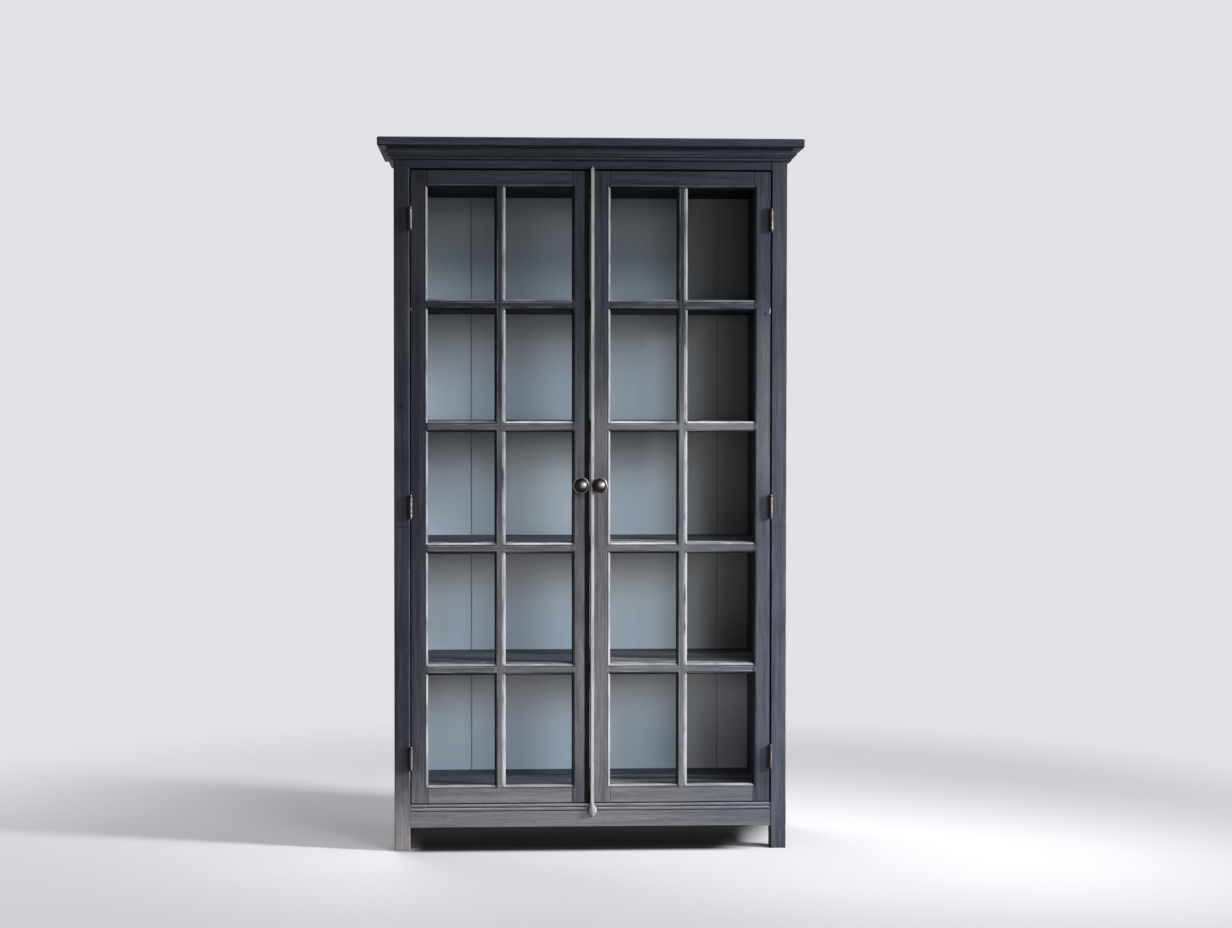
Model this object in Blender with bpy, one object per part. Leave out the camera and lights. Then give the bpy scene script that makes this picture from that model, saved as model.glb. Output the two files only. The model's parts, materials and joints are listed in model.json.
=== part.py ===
"""Tall display cabinet with a pair of glazed doors.

A post-and-rail carcass carries a boarded back, housed shelves, a reeded crown and a flat top
board. Each door is a moulded frame with a grille of glazing bars in front of one sheet of glass,
hung on three proud-knuckle hinges. All lengths are in metres. The origin is on the floor below
the middle of the plan, +X runs to the right and the front faces -Y.
"""

from math import cos, pi, radians, sin

import bmesh
import bpy
from mathutils import Vector

# Overall sizes
CABINET_HEIGHT = 1.900
BODY_WIDTH = 1.050
BODY_DEPTH = 0.385
CORNICE_OVERHANG = 0.042

# Fits and small edges
SEAT_GAP = 0.0003
CUT_OVERRUN = 0.002
EDGE_EASE = 0.0012
TOP_EDGE_EASE = 0.0030
LIP_TRIM = 0.00015
POLE_MERGE = 0.00002
SHARP_DEGREES = 35

# Posts, and the rails between them
POST_WIDTH = 0.042
POST_DEPTH = 0.045
RAIL_UNDERSIDE = 0.0625
BASE_RAIL_HEIGHT = 0.062
FRIEZE_HEIGHT = 0.057
RAIL_SETBACK = 0.001
RAIL_LIP_THICKNESS = 0.018
OPENING_CHAMFER = 0.0025
REED_HEIGHT = 0.010
REED_DEPTH = 0.004
REED_COUNT = 2
REED_STEPS = 6
REAR_RAIL_THICKNESS = 0.022

# Sides
SIDE_RAIL_THICKNESS = 0.015
SIDE_RAIL_SETBACK = 0.002
SIDE_TOP_RAIL_WIDTH = 0.100
SIDE_MIDDLE_RAIL_WIDTH = 0.070
SIDE_BOTTOM_RAIL_WIDTH = 0.090
SIDE_MIDDLE_RAIL_HEIGHT = 0.875
PANEL_THICKNESS = 0.012
PANEL_GROOVE_DEPTH = 0.008
PANEL_END_MARGIN = 0.015

# Inner boards
LINING_THICKNESS = 0.024
BOARD_THICKNESS = 0.024
STOP_GAP = 0.0005
CEILING_RISE = 0.0055
FLOOR_DROP = 0.0145
SHELF_THICKNESS = 0.028
SHELF_RISE = 0.016
SHELF_FRONT_GAP = 0.006
HOUSING_DEPTH = 0.006
BACK_THICKNESS = 0.016
BACK_BOARD_WIDTH = 0.348
FIRST_BACK_BOARD_WIDTH = 0.159
SEAM_WIDTH = 0.0025
SEAM_DEPTH = 0.004

# Top board and crown moulding
TOP_BOARD_THICKNESS = 0.024
CROWN_REACH = 0.022
CROWN_RECESS_HEIGHT = 0.009
CROWN_RECESS_REACH = 0.010
CROWN_FILLET_HEIGHT = 0.008
CROWN_REED_RADIUS = 0.004
CROWN_REED_STEP = 0.006
CROWN_REED_COUNT = 2

# Doors
DOOR_THICKNESS = 0.028
DOOR_GAP = 0.0025
MEETING_GAP = 0.0022
MEETING_OFFSET = 0.00275
HINGE_STILE_WIDTH = 0.045
MEETING_HALF_WIDTH = 0.05125
TOP_RAIL_WIDTH = 0.047
BOTTOM_RAIL_WIDTH = 0.048
BAR_WIDTH = 0.0295
BAR_THICKNESS = 0.013
LIGHT_COLUMNS = 2
LIGHT_ROWS = 5
OVOLO_WIDTH = 0.0072
OVOLO_QUIRK = 0.0008
OVOLO_TOP = 0.0018
OVOLO_DEPTH = 0.0074
OVOLO_STEPS = 5
GLASS_THICKNESS = 0.003
GLASS_REBATE = 0.007
BEAD_SETBACK = 0.0005
BEAD_NOSE = 0.0025
BEAD_SPLAY = 0.004

# Half-round meeting strip with turned ends, on the right door
STRIP_RADIUS = 0.00525
STRIP_STEPS = 8
DROP_RADIUS = 0.012
DROP_LENGTH = 0.038
TIP_LENGTH = 0.013

# Knobs
KNOB_ABOVE_DOOR_FOOT = 0.851
KNOB_SPACING = 0.0485
KNOB_ROSE_RADIUS = 0.010
KNOB_ROSE_THICKNESS = 0.002
KNOB_NECK_RADIUS = 0.0065
KNOB_NECK_LENGTH = 0.008
KNOB_RIM_RADIUS = 0.0215
KNOB_RIM_THICKNESS = 0.004
KNOB_DOME_RADIUS = 0.018
KNOB_STEPS = 28
KNOB_RIM_STEPS = 4
KNOB_DOME_STEPS = 7

# Hinges
HINGE_BARREL_RADIUS = 0.0055
HINGE_PIN_RADIUS = 0.0026
HINGE_BORE_RADIUS = 0.0030
HINGE_LENGTH = 0.052
HINGE_TIP_LENGTH = 0.008
HINGE_LEAF_THICKNESS = 0.0016
HINGE_LEAF_WIDTH = 0.022
HINGE_TAB_REACH = 0.0034
HINGE_KNUCKLES = 5
HINGE_STEPS = 14
HINGE_FROM_DOOR_TOP = 0.1295
HINGE_FROM_DOOR_FOOT = 0.1215
HINGE_MIDDLE_DROP = 0.051

# Door catch
CATCH_WIDTH = 0.070
CATCH_DEPTH = 0.024
CATCH_HEIGHT = 0.015
STRIKE_WIDTH = 0.026
STRIKE_HEIGHT = 0.012
STRIKE_THICKNESS = 0.0015
STRIKE_FROM_EDGE = 0.006

# Places that follow from the sizes
TOTAL_DEPTH = BODY_DEPTH + CORNICE_OVERHANG
FRONT = CORNICE_OVERHANG - TOTAL_DEPTH / 2
BACK = TOTAL_DEPTH / 2
BODY_HALF = BODY_WIDTH / 2
OPENING_HALF = BODY_HALF - POST_WIDTH
TOP_UNDERSIDE = CABINET_HEIGHT - TOP_BOARD_THICKNESS
OPENING_FOOT = RAIL_UNDERSIDE + BASE_RAIL_HEIGHT
OPENING_HEAD = TOP_UNDERSIDE - FRIEZE_HEIGHT
DOOR_FOOT = OPENING_FOOT + DOOR_GAP
DOOR_HEAD = OPENING_HEAD - DOOR_GAP
DOOR_BACK = FRONT + DOOR_THICKNESS
DOOR_EDGE = OPENING_HALF - DOOR_GAP
GLASS_FOOT = DOOR_FOOT + BOTTOM_RAIL_WIDTH
GLASS_HEAD = DOOR_HEAD - TOP_RAIL_WIDTH
GLASS_SIDE = DOOR_EDGE - HINGE_STILE_WIDTH
LIGHT_HEIGHT = (GLASS_HEAD - GLASS_FOOT - (LIGHT_ROWS - 1) * BAR_WIDTH) / LIGHT_ROWS
LIGHT_WIDTH = (GLASS_SIDE - MEETING_HALF_WIDTH - (LIGHT_COLUMNS - 1) * BAR_WIDTH) / LIGHT_COLUMNS
STOP_FRONT = DOOR_BACK + STOP_GAP
CEILING_UNDERSIDE = GLASS_HEAD + CEILING_RISE
CEILING_TOP = CEILING_UNDERSIDE + BOARD_THICKNESS
FLOOR_TOP = GLASS_FOOT - FLOOR_DROP
FLOOR_UNDERSIDE = FLOOR_TOP - BOARD_THICKNESS
LINING_FACE = OPENING_HALF - LINING_THICKNESS
BACK_FACE = BACK - BACK_THICKNESS
BOARDS_END = BACK_FACE - SEAT_GAP
CROWN_HEIGHT = CROWN_RECESS_HEIGHT + CROWN_FILLET_HEIGHT + 2 * CROWN_REED_RADIUS * CROWN_REED_COUNT
CROWN_FOOT = TOP_UNDERSIDE - SEAT_GAP - CROWN_HEIGHT
SIDE_RAIL_INNER = BODY_HALF - SIDE_RAIL_SETBACK - SIDE_RAIL_THICKNESS
PANEL_OUTER = SIDE_RAIL_INNER - SEAT_GAP
PANEL_INNER = PANEL_OUTER - PANEL_THICKNESS
HINGE_AXIS_X = OPENING_HALF - DOOR_GAP / 2
HINGE_AXIS_Y = FRONT - SEAT_GAP - HINGE_BARREL_RADIUS
MEETING_EDGES = {
    "left": -MEETING_OFFSET - MEETING_GAP / 2,
    "right": -MEETING_OFFSET + MEETING_GAP / 2,
}
HINGE_HEIGHTS = {
    "top": DOOR_HEAD - HINGE_FROM_DOOR_TOP,
    "middle": (DOOR_HEAD + DOOR_FOOT) / 2 - HINGE_MIDDLE_DROP,
    "bottom": DOOR_FOOT + HINGE_FROM_DOOR_FOOT,
}
SIDES = {"left": -1, "right": 1}

# Finishes: colour, roughness, metallic
FINISHES = {
    "frame_wood": ((0.043, 0.048, 0.062), 0.55, 0.0),
    "shelf_wood": ((0.050, 0.056, 0.068), 0.60, 0.0),
    "back_paint": ((0.480, 0.580, 0.660), 0.65, 0.0),
    "glass": ((0.900, 0.940, 0.950), 0.05, 0.0),
    "bronze": ((0.060, 0.045, 0.035), 0.35, 0.9),
    "hinge_iron": ((0.070, 0.055, 0.045), 0.50, 0.8),
    "catch_steel": ((0.300, 0.300, 0.310), 0.40, 0.8),
}


def clear_scene():
    for old in list(bpy.data.objects):
        bpy.data.objects.remove(old, do_unlink=True)


def finish_material(name, finish):
    colour, roughness, metallic = FINISHES[finish]
    material = bpy.data.materials.new(name)
    material.use_nodes = True
    shader = material.node_tree.nodes["Principled BSDF"]
    shader.inputs["Base Color"].default_value = (*colour, 1.0)
    shader.inputs["Roughness"].default_value = roughness
    shader.inputs["Metallic"].default_value = metallic
    return material


def add_piece(name, bm, finish, pivot=None, smooth=False):
    """Make an object from bm, which is drawn in world places, with its origin on its pivot."""
    bmesh.ops.recalc_face_normals(bm, faces=bm.faces)
    if pivot:
        bmesh.ops.translate(bm, verts=bm.verts, vec=-pivot.location)
    mesh = bpy.data.meshes.new(name)
    bm.to_mesh(mesh)
    bm.free()
    if smooth:
        mesh.shade_smooth()
        mesh.set_sharp_from_angle(angle=radians(SHARP_DEGREES))
    piece = bpy.data.objects.new(name, mesh)
    bpy.context.scene.collection.objects.link(piece)
    mesh.materials.append(finish_material(name, finish))
    piece.parent = pivot
    return piece


def add_cutter(name, bm, pivot=None):
    cutter = add_piece(name, bm, "frame_wood", pivot)
    cutter.hide_render = True
    cutter.display_type = "WIRE"
    return cutter


def combine(piece, other, operation):
    modifier = piece.modifiers.new(other.name, "BOOLEAN")
    modifier.operation = operation
    modifier.solver = "EXACT"
    modifier.object = other


def add_box(bm, low, high):
    """Add a closed box between two corners and return its vertices."""
    low = Vector(low)
    size = Vector(high) - low
    made = bmesh.ops.create_cube(bm, size=1.0)["verts"]
    bmesh.ops.scale(bm, verts=made, vec=size)
    bmesh.ops.translate(bm, verts=made, vec=low + size / 2)
    return made


def board(name, low, high, finish="frame_wood", ease=EDGE_EASE, pivot=None):
    """A sawn board with its arrises eased by hand."""
    bm = bmesh.new()
    add_box(bm, low, high)
    bmesh.ops.bevel(
        bm, geom=bm.edges[:], offset=ease, offset_type="OFFSET", affect="EDGES",
        segments=1, profile=0.5, material=-1,
    )
    return add_piece(name, bm, finish, pivot)


def drawn_bar(outline, place_start, place_end):
    """A bar of one section; each end's function gives the place of the section's points."""
    bm = bmesh.new()
    ends = [[bm.verts.new(place(*point)) for point in outline] for place in (place_start, place_end)]
    caps = [bm.faces.new(end) for end in ends]
    bmesh.ops.bridge_loops(bm, edges=[edge for cap in caps for edge in cap.edges])
    return bm


def add_frame_ring(bm, low, high, outline):
    """A mitred frame round an upright rectangle; outline gives (spread, depth) of its section."""
    rings = [rectangle(bm, low, high, spread, depth) for spread, depth in outline]
    for ring, following in zip(rings, rings[1:] + rings[:1]):
        join_rings(bm, ring, following)


def rectangle(bm, low, high, spread, depth):
    """Four vertices round an upright rectangle (x, z), spread outwards, at one depth."""
    corners = (
        (low[0] - spread, low[1] - spread),
        (high[0] + spread, low[1] - spread),
        (high[0] + spread, high[1] + spread),
        (low[0] - spread, high[1] + spread),
    )
    return [bm.verts.new((x, FRONT + depth, z)) for x, z in corners]


def join_rings(bm, ring, following):
    for index in range(len(ring)):
        after = (index + 1) % len(ring)
        bm.faces.new((ring[index], ring[after], following[after], following[index]))


def turned(bm, outline, centre, axis, angle=2 * pi, steps=KNOB_STEPS):
    """Spin an outline of (radius, length) pairs about an axis through centre."""
    side = Vector((1, 0, 0))
    along = Vector(axis)
    verts = [bm.verts.new(centre + side * radius + along * length) for radius, length in outline]
    edges = [bm.edges.new(pair) for pair in zip(verts, verts[1:])]
    bmesh.ops.spin(
        bm, geom=verts + edges, cent=centre, axis=along, angle=angle, steps=steps,
        use_merge=angle == 2 * pi,
    )
    bmesh.ops.remove_doubles(bm, verts=bm.verts, dist=POLE_MERGE)


def arc(centre, radii, start, end, steps):
    """Points on a quarter or half ellipse, its angles in degrees."""
    turns = [radians(start + (end - start) * step / steps) for step in range(steps + 1)]
    return [(centre[0] + radii[0] * cos(turn), centre[1] + radii[1] * sin(turn)) for turn in turns]


def front_at(distance):
    return FRONT + distance


# Posts: the front ones are chamfered towards the doors and sunk for the hinge leaves, and all
# four are grooved for the side panels
def build_posts():
    rear_of_post = {"front": FRONT, "rear": BACK - POST_DEPTH}
    for side, sign in SIDES.items():
        for row, start in rear_of_post.items():
            across = sorted((sign * OPENING_HALF, sign * BODY_HALF))
            name = f"post_{row}_{side}"
            post = board(
                name,
                (across[0], start, 0),
                (across[1], start + POST_DEPTH, TOP_UNDERSIDE - SEAT_GAP),
            )
            combine(post, panel_groove(name, sign, row), "DIFFERENCE")
            if row == "front":
                combine(post, hinge_sinkings(name, sign * OPENING_HALF, sign), "DIFFERENCE")
                for cutter in opening_chamfers(name, sign):
                    combine(post, cutter, "DIFFERENCE")


def panel_groove(name, sign, row):
    across = sorted((sign * (PANEL_INNER - SEAT_GAP), sign * (PANEL_OUTER + SEAT_GAP)))
    if row == "front":
        along = (FRONT + POST_DEPTH - PANEL_GROOVE_DEPTH, FRONT + POST_DEPTH + CUT_OVERRUN)
    else:
        along = (BACK - POST_DEPTH - CUT_OVERRUN, BACK - POST_DEPTH + PANEL_GROOVE_DEPTH)
    bm = bmesh.new()
    add_box(
        bm,
        (across[0], along[0], RAIL_UNDERSIDE + PANEL_END_MARGIN - SEAT_GAP),
        (across[1], along[1], TOP_UNDERSIDE - PANEL_END_MARGIN + SEAT_GAP),
    )
    return add_cutter(f"{name}_groove_cutter", bm)


def opening_chamfers(name, sign):
    """Chamfers on the post's inner arris, one on the foot and one beside the door."""
    corner = (OPENING_HALF - CUT_OVERRUN, -CUT_OVERRUN)
    leg = OPENING_CHAMFER + 2 * CUT_OVERRUN
    outline = [corner, (corner[0] + leg, corner[1]), (corner[0], corner[1] + leg)]
    spans = {"foot": (-CUT_OVERRUN, RAIL_UNDERSIDE), "door": (OPENING_FOOT, OPENING_HEAD)}
    for place, (foot, head) in spans.items():
        bm = drawn_bar(
            outline,
            lambda across, depth: Vector((sign * across, front_at(depth), foot)),
            lambda across, depth: Vector((sign * across, front_at(depth), head)),
        )
        yield add_cutter(f"{name}_{place}_chamfer_cutter", bm)


def hinge_sinkings(name, edge, into, pivot=None):
    """Three shallow sinkings that let the hinge leaves in flush, cut from edge towards into."""
    bm = bmesh.new()
    depth = HINGE_LEAF_THICKNESS + SEAT_GAP
    across = sorted((edge - into * CUT_OVERRUN, edge + into * depth))
    for height in HINGE_HEIGHTS.values():
        add_box(
            bm,
            (across[0], FRONT - CUT_OVERRUN, height - HINGE_LENGTH / 2 - SEAT_GAP),
            (across[1], front_at(HINGE_LEAF_WIDTH + SEAT_GAP), height + HINGE_LENGTH / 2 + SEAT_GAP),
        )
    return add_cutter(f"{name}_hinge_cutter", bm, pivot)


# Rails between the front posts: both are rebated behind, so that the doors close against them
def build_front_rails():
    reach = OPENING_HALF - SEAT_GAP
    face = RAIL_SETBACK
    lip_front = DOOR_THICKNESS + STOP_GAP
    lip_back = lip_front + RAIL_LIP_THICKNESS
    frieze = [
        (face + OPENING_CHAMFER, OPENING_HEAD),
        (face, OPENING_HEAD + OPENING_CHAMFER),
        (face, TOP_UNDERSIDE - SEAT_GAP),
        (lip_back, TOP_UNDERSIDE - SEAT_GAP),
        (lip_back, CEILING_TOP + SEAT_GAP),
        (lip_front, CEILING_TOP + SEAT_GAP),
        (lip_front, OPENING_HEAD),
    ]
    reeds = []
    for index in range(REED_COUNT):
        middle = (face + REED_DEPTH, OPENING_FOOT - REED_HEIGHT * (index + 1 / 2))
        reed = arc(middle, (-REED_DEPTH, REED_HEIGHT / 2), 90, -90, REED_STEPS)
        reeds += reed[1:] if reeds else reed
    base = [
        (lip_front, OPENING_FOOT),
        *reeds,
        (face, OPENING_FOOT - REED_HEIGHT * REED_COUNT),
        (face, RAIL_UNDERSIDE + EDGE_EASE),
        (face + EDGE_EASE, RAIL_UNDERSIDE),
        (lip_back, RAIL_UNDERSIDE),
        (lip_back, FLOOR_UNDERSIDE - SEAT_GAP),
        (lip_front, FLOOR_UNDERSIDE - SEAT_GAP),
    ]
    for name, outline in (("frieze_rail", frieze), ("base_rail", base)):
        bm = drawn_bar(
            outline,
            lambda depth, height: Vector((-reach, front_at(depth), height)),
            lambda depth, height: Vector((reach, front_at(depth), height)),
        )
        add_piece(name, bm, "frame_wood")


def build_rear_rail():
    reach = OPENING_HALF - SEAT_GAP
    board(
        "rear_base_rail",
        (-reach, BOARDS_END - REAR_RAIL_THICKNESS, RAIL_UNDERSIDE),
        (reach, BOARDS_END, FLOOR_UNDERSIDE - SEAT_GAP),
    )


# Sides: three rails between the posts, and one panel behind them held in the posts' grooves
def build_sides():
    rail_spans = {
        "bottom": (RAIL_UNDERSIDE, RAIL_UNDERSIDE + SIDE_BOTTOM_RAIL_WIDTH),
        "middle": (
            SIDE_MIDDLE_RAIL_HEIGHT - SIDE_MIDDLE_RAIL_WIDTH / 2,
            SIDE_MIDDLE_RAIL_HEIGHT + SIDE_MIDDLE_RAIL_WIDTH / 2,
        ),
        "top": (TOP_UNDERSIDE - SIDE_TOP_RAIL_WIDTH, TOP_UNDERSIDE - SEAT_GAP),
    }
    rail_front = FRONT + POST_DEPTH + SEAT_GAP
    rail_back = BACK - POST_DEPTH - SEAT_GAP
    tongue = PANEL_GROOVE_DEPTH - SEAT_GAP
    for side, sign in SIDES.items():
        across = sorted((sign * SIDE_RAIL_INNER, sign * (SIDE_RAIL_INNER + SIDE_RAIL_THICKNESS)))
        for place, (foot, head) in rail_spans.items():
            board(
                f"side_rail_{place}_{side}",
                (across[0], rail_front, foot),
                (across[1], rail_back, head),
            )
        across = sorted((sign * PANEL_INNER, sign * PANEL_OUTER))
        board(
            f"side_panel_{side}",
            (across[0], FRONT + POST_DEPTH - tongue, RAIL_UNDERSIDE + PANEL_END_MARGIN),
            (across[1], BACK - POST_DEPTH + tongue, TOP_UNDERSIDE - PANEL_END_MARGIN),
        )


def bar_height(row):
    """Height of the middle of the glazing bar above the light in this row, counted from the foot."""
    return GLASS_FOOT + row * (LIGHT_HEIGHT + BAR_WIDTH) - BAR_WIDTH / 2


def shelf_spans():
    """Foot and head of each shelf, from the top shelf down, level with the cross bars."""
    heads = [bar_height(row) + SHELF_RISE for row in range(LIGHT_ROWS - 1, 0, -1)]
    return [(head - SHELF_THICKNESS, head) for head in heads]


# Inner boards: linings housed for the shelves, ceiling, floor and the boarded back
def build_linings():
    for side, sign in SIDES.items():
        across = sorted((sign * LINING_FACE, sign * (OPENING_HALF - SEAT_GAP)))
        name = f"side_lining_{side}"
        lining = board(
            name,
            (across[0], STOP_FRONT, FLOOR_TOP + SEAT_GAP),
            (across[1], BOARDS_END, CEILING_UNDERSIDE - SEAT_GAP),
        )
        bm = bmesh.new()
        face, bottom = LINING_FACE - CUT_OVERRUN, LINING_FACE + HOUSING_DEPTH
        across = sorted((sign * face, sign * bottom))
        for foot, head in shelf_spans():
            add_box(
                bm,
                (across[0], DOOR_BACK + SHELF_FRONT_GAP - SEAT_GAP, foot - SEAT_GAP),
                (across[1], BOARDS_END + CUT_OVERRUN, head + SEAT_GAP),
            )
        combine(lining, add_cutter(f"{name}_housing_cutter", bm), "DIFFERENCE")


def build_shelves():
    reach = LINING_FACE + HOUSING_DEPTH - SEAT_GAP
    for number, (foot, head) in enumerate(shelf_spans(), start=1):
        board(
            f"shelf_{number}",
            (-reach, DOOR_BACK + SHELF_FRONT_GAP, foot),
            (reach, BOARDS_END, head),
            "shelf_wood",
        )


def build_ceiling_and_floor():
    reach = OPENING_HALF - SEAT_GAP
    spans = {
        "ceiling_board": (CEILING_UNDERSIDE, CEILING_TOP),
        "floor_board": (FLOOR_UNDERSIDE, FLOOR_TOP),
    }
    for name, (foot, head) in spans.items():
        board(name, (-reach, STOP_FRONT, foot), (reach, BOARDS_END, head), "shelf_wood")


def build_back():
    """Boards side by side as one panel, with a worked seam on both faces at each joint."""
    reach = OPENING_HALF - SEAT_GAP
    back = board(
        "back_boards",
        (-reach, BACK_FACE, RAIL_UNDERSIDE),
        (reach, BACK, TOP_UNDERSIDE - SEAT_GAP),
        "back_paint",
    )
    bm = bmesh.new()
    faces = (
        (BACK_FACE - CUT_OVERRUN, BACK_FACE + SEAM_DEPTH),
        (BACK - SEAM_DEPTH, BACK + CUT_OVERRUN),
    )
    seam = -reach + FIRST_BACK_BOARD_WIDTH
    while seam < reach - BACK_BOARD_WIDTH / 4:
        for near, far in faces:
            add_box(
                bm,
                (seam - SEAM_WIDTH / 2, near, RAIL_UNDERSIDE - CUT_OVERRUN),
                (seam + SEAM_WIDTH / 2, far, TOP_UNDERSIDE + CUT_OVERRUN),
            )
        seam += BACK_BOARD_WIDTH
    combine(back, add_cutter("back_seam_cutter", bm), "DIFFERENCE")


# Top board, and the crown moulding mitred round the front corners
def build_top_board():
    board(
        "top_board",
        (-BODY_HALF - CORNICE_OVERHANG, FRONT - CORNICE_OVERHANG, TOP_UNDERSIDE),
        (BODY_HALF + CORNICE_OVERHANG, BACK, CABINET_HEIGHT),
        ease=TOP_EDGE_EASE,
    )


def crown_outline():
    """Section as (reach, height): a hollow under the board, a square fillet, then stepped reeds."""
    head = TOP_UNDERSIDE - SEAT_GAP
    fillet_head = head - CROWN_RECESS_HEIGHT
    fillet_foot = fillet_head - CROWN_FILLET_HEIGHT
    outline = [
        (SEAT_GAP, head),
        (CROWN_RECESS_REACH, head),
        (CROWN_RECESS_REACH, fillet_head),
        (CROWN_REACH, fillet_head),
        (CROWN_REACH, fillet_foot),
    ]
    for index in range(CROWN_REED_COUNT):
        base = CROWN_REACH - CROWN_REED_RADIUS - CROWN_REED_STEP * (index + 1)
        middle = fillet_foot - CROWN_REED_RADIUS * (2 * index + 1)
        outline += arc((base, middle), (CROWN_REED_RADIUS, CROWN_REED_RADIUS), 90, -90, REED_STEPS)
    outline.append((SEAT_GAP, CROWN_FOOT))
    return outline


def build_crown():
    outline = crown_outline()
    mitre = SEAT_GAP / 2
    front = drawn_bar(
        outline,
        lambda out, height: Vector((-BODY_HALF - out + mitre, FRONT - out, height)),
        lambda out, height: Vector((BODY_HALF + out - mitre, FRONT - out, height)),
    )
    add_piece("crown_front", front, "frame_wood")
    for side, sign in SIDES.items():
        bm = drawn_bar(
            outline,
            lambda out, height: Vector((sign * (BODY_HALF + out), FRONT - out + mitre, height)),
            lambda out, height: Vector((sign * (BODY_HALF + out), BACK, height)),
        )
        add_piece(f"crown_{side}", bm, "frame_wood")


# Doors
def light_outline():
    """Section of the opening cut for one light, as (spread, depth) from the front to the back."""
    shoulder = OVOLO_WIDTH + OVOLO_QUIRK
    middle = (OVOLO_WIDTH, OVOLO_TOP + OVOLO_DEPTH)
    return [
        (shoulder, -CUT_OVERRUN),
        (shoulder, OVOLO_TOP),
        *arc(middle, (-OVOLO_WIDTH, -OVOLO_DEPTH), 90, 0, OVOLO_STEPS),
        (0, BAR_THICKNESS + CUT_OVERRUN),
    ]


def lights(inner, outer):
    """Corners (x, z) of every light between two upright sight lines."""
    for row in range(LIGHT_ROWS):
        foot = GLASS_FOOT + row * (LIGHT_HEIGHT + BAR_WIDTH)
        for column in range(LIGHT_COLUMNS):
            start = min(inner, outer) + column * (LIGHT_WIDTH + BAR_WIDTH)
            yield (start, foot), (start + LIGHT_WIDTH, foot + LIGHT_HEIGHT)


def light_cutter(name, inner, outer, pivot):
    bm = bmesh.new()
    for low, high in lights(inner, outer):
        rings = [rectangle(bm, low, high, spread, depth) for spread, depth in light_outline()]
        for ring, following in zip(rings, rings[1:]):
            join_rings(bm, ring, following)
        bm.faces.new(rings[0])
        bm.faces.new(rings[-1])
    return add_cutter(f"{name}_light_cutter", bm, pivot)


def build_door(side, sign):
    pivot = bpy.data.objects.new(f"{side}_door_axis", None)
    pivot.location = (sign * HINGE_AXIS_X, HINGE_AXIS_Y, 0)
    bpy.context.scene.collection.objects.link(pivot)
    name = f"{side}_door"
    meeting = MEETING_EDGES[side]
    inner, outer = sign * MEETING_HALF_WIDTH, sign * GLASS_SIDE
    edge = sign * DOOR_EDGE
    openings = light_cutter(name, inner, outer, pivot)
    rebate = rebate_cutter(name, inner, outer, pivot)
    build_door_frame(name, meeting, inner, outer, edge, (openings, rebate), pivot)
    build_grille(name, inner, outer, openings, pivot)
    build_glazing(name, inner, outer, pivot)
    build_knob(name, sign, pivot)
    build_strike(name, meeting, sign, pivot)
    if side == "right":
        build_meeting_strip(meeting, pivot)
    return pivot


def rebate_cutter(name, inner, outer, pivot):
    bm = bmesh.new()
    add_box(
        bm,
        (min(inner, outer) - GLASS_REBATE, front_at(BAR_THICKNESS), GLASS_FOOT - GLASS_REBATE),
        (max(inner, outer) + GLASS_REBATE, DOOR_BACK + CUT_OVERRUN, GLASS_HEAD + GLASS_REBATE),
    )
    return add_cutter(f"{name}_rebate_cutter", bm, pivot)


def build_door_frame(name, meeting, inner, outer, edge, cutters, pivot):
    """Two stiles the full height of the door, and two rails between them."""
    towards_edge = 1 if edge > meeting else -1
    stiles = {
        "hinge_stile": (outer + towards_edge * LIP_TRIM, edge),
        "meeting_stile": (meeting, inner - towards_edge * LIP_TRIM),
    }
    for place, across in stiles.items():
        low, high = sorted(across)
        stile = board(
            f"{name}_{place}",
            (low, FRONT, DOOR_FOOT),
            (high, DOOR_BACK, DOOR_HEAD),
            pivot=pivot,
        )
        for cutter in cutters:
            combine(stile, cutter, "DIFFERENCE")
        if place == "hinge_stile":
            combine(stile, hinge_sinkings(stile.name, edge, -towards_edge, pivot), "DIFFERENCE")
    low, high = sorted((inner, outer))
    rails = {
        "bottom_rail": (DOOR_FOOT, GLASS_FOOT - LIP_TRIM),
        "top_rail": (GLASS_HEAD + LIP_TRIM, DOOR_HEAD),
    }
    for place, (foot, head) in rails.items():
        rail = board(
            f"{name}_{place}",
            (low + LIP_TRIM, FRONT, foot),
            (high - LIP_TRIM, DOOR_BACK, head),
            pivot=pivot,
        )
        for cutter in cutters:
            combine(rail, cutter, "DIFFERENCE")


def build_grille(name, inner, outer, openings, pivot):
    """One upright bar and four cross bars, halved together and moulded round every light."""
    low, high = sorted((inner, outer))
    bm = bmesh.new()
    add_box(
        bm,
        (low + LIP_TRIM, FRONT, GLASS_FOOT + LIP_TRIM),
        (high - LIP_TRIM, front_at(BAR_THICKNESS), GLASS_HEAD - LIP_TRIM),
    )
    grille = add_piece(f"{name}_glazing_bars", bm, "frame_wood", pivot)
    combine(grille, openings, "DIFFERENCE")


def build_glazing(name, inner, outer, pivot):
    low, high = sorted((inner, outer))
    spread = GLASS_REBATE - SEAT_GAP
    glass_front = BAR_THICKNESS + SEAT_GAP
    glass_back = glass_front + GLASS_THICKNESS
    board(
        f"{name}_glass",
        (low - spread, front_at(glass_front), GLASS_FOOT - spread),
        (high + spread, front_at(glass_back), GLASS_HEAD + spread),
        "glass",
        ease=SEAT_GAP,
        pivot=pivot,
    )
    bead_front = glass_back + SEAT_GAP
    bead_back = DOOR_THICKNESS - BEAD_SETBACK
    outline = [
        (spread, bead_front),
        (0, bead_front),
        (0, bead_front + BEAD_NOSE),
        (BEAD_SPLAY, bead_back),
        (spread, bead_back),
    ]
    bm = bmesh.new()
    add_frame_ring(bm, (low, GLASS_FOOT), (high, GLASS_HEAD), outline)
    add_piece(f"{name}_glazing_bead", bm, "frame_wood", pivot)


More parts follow.
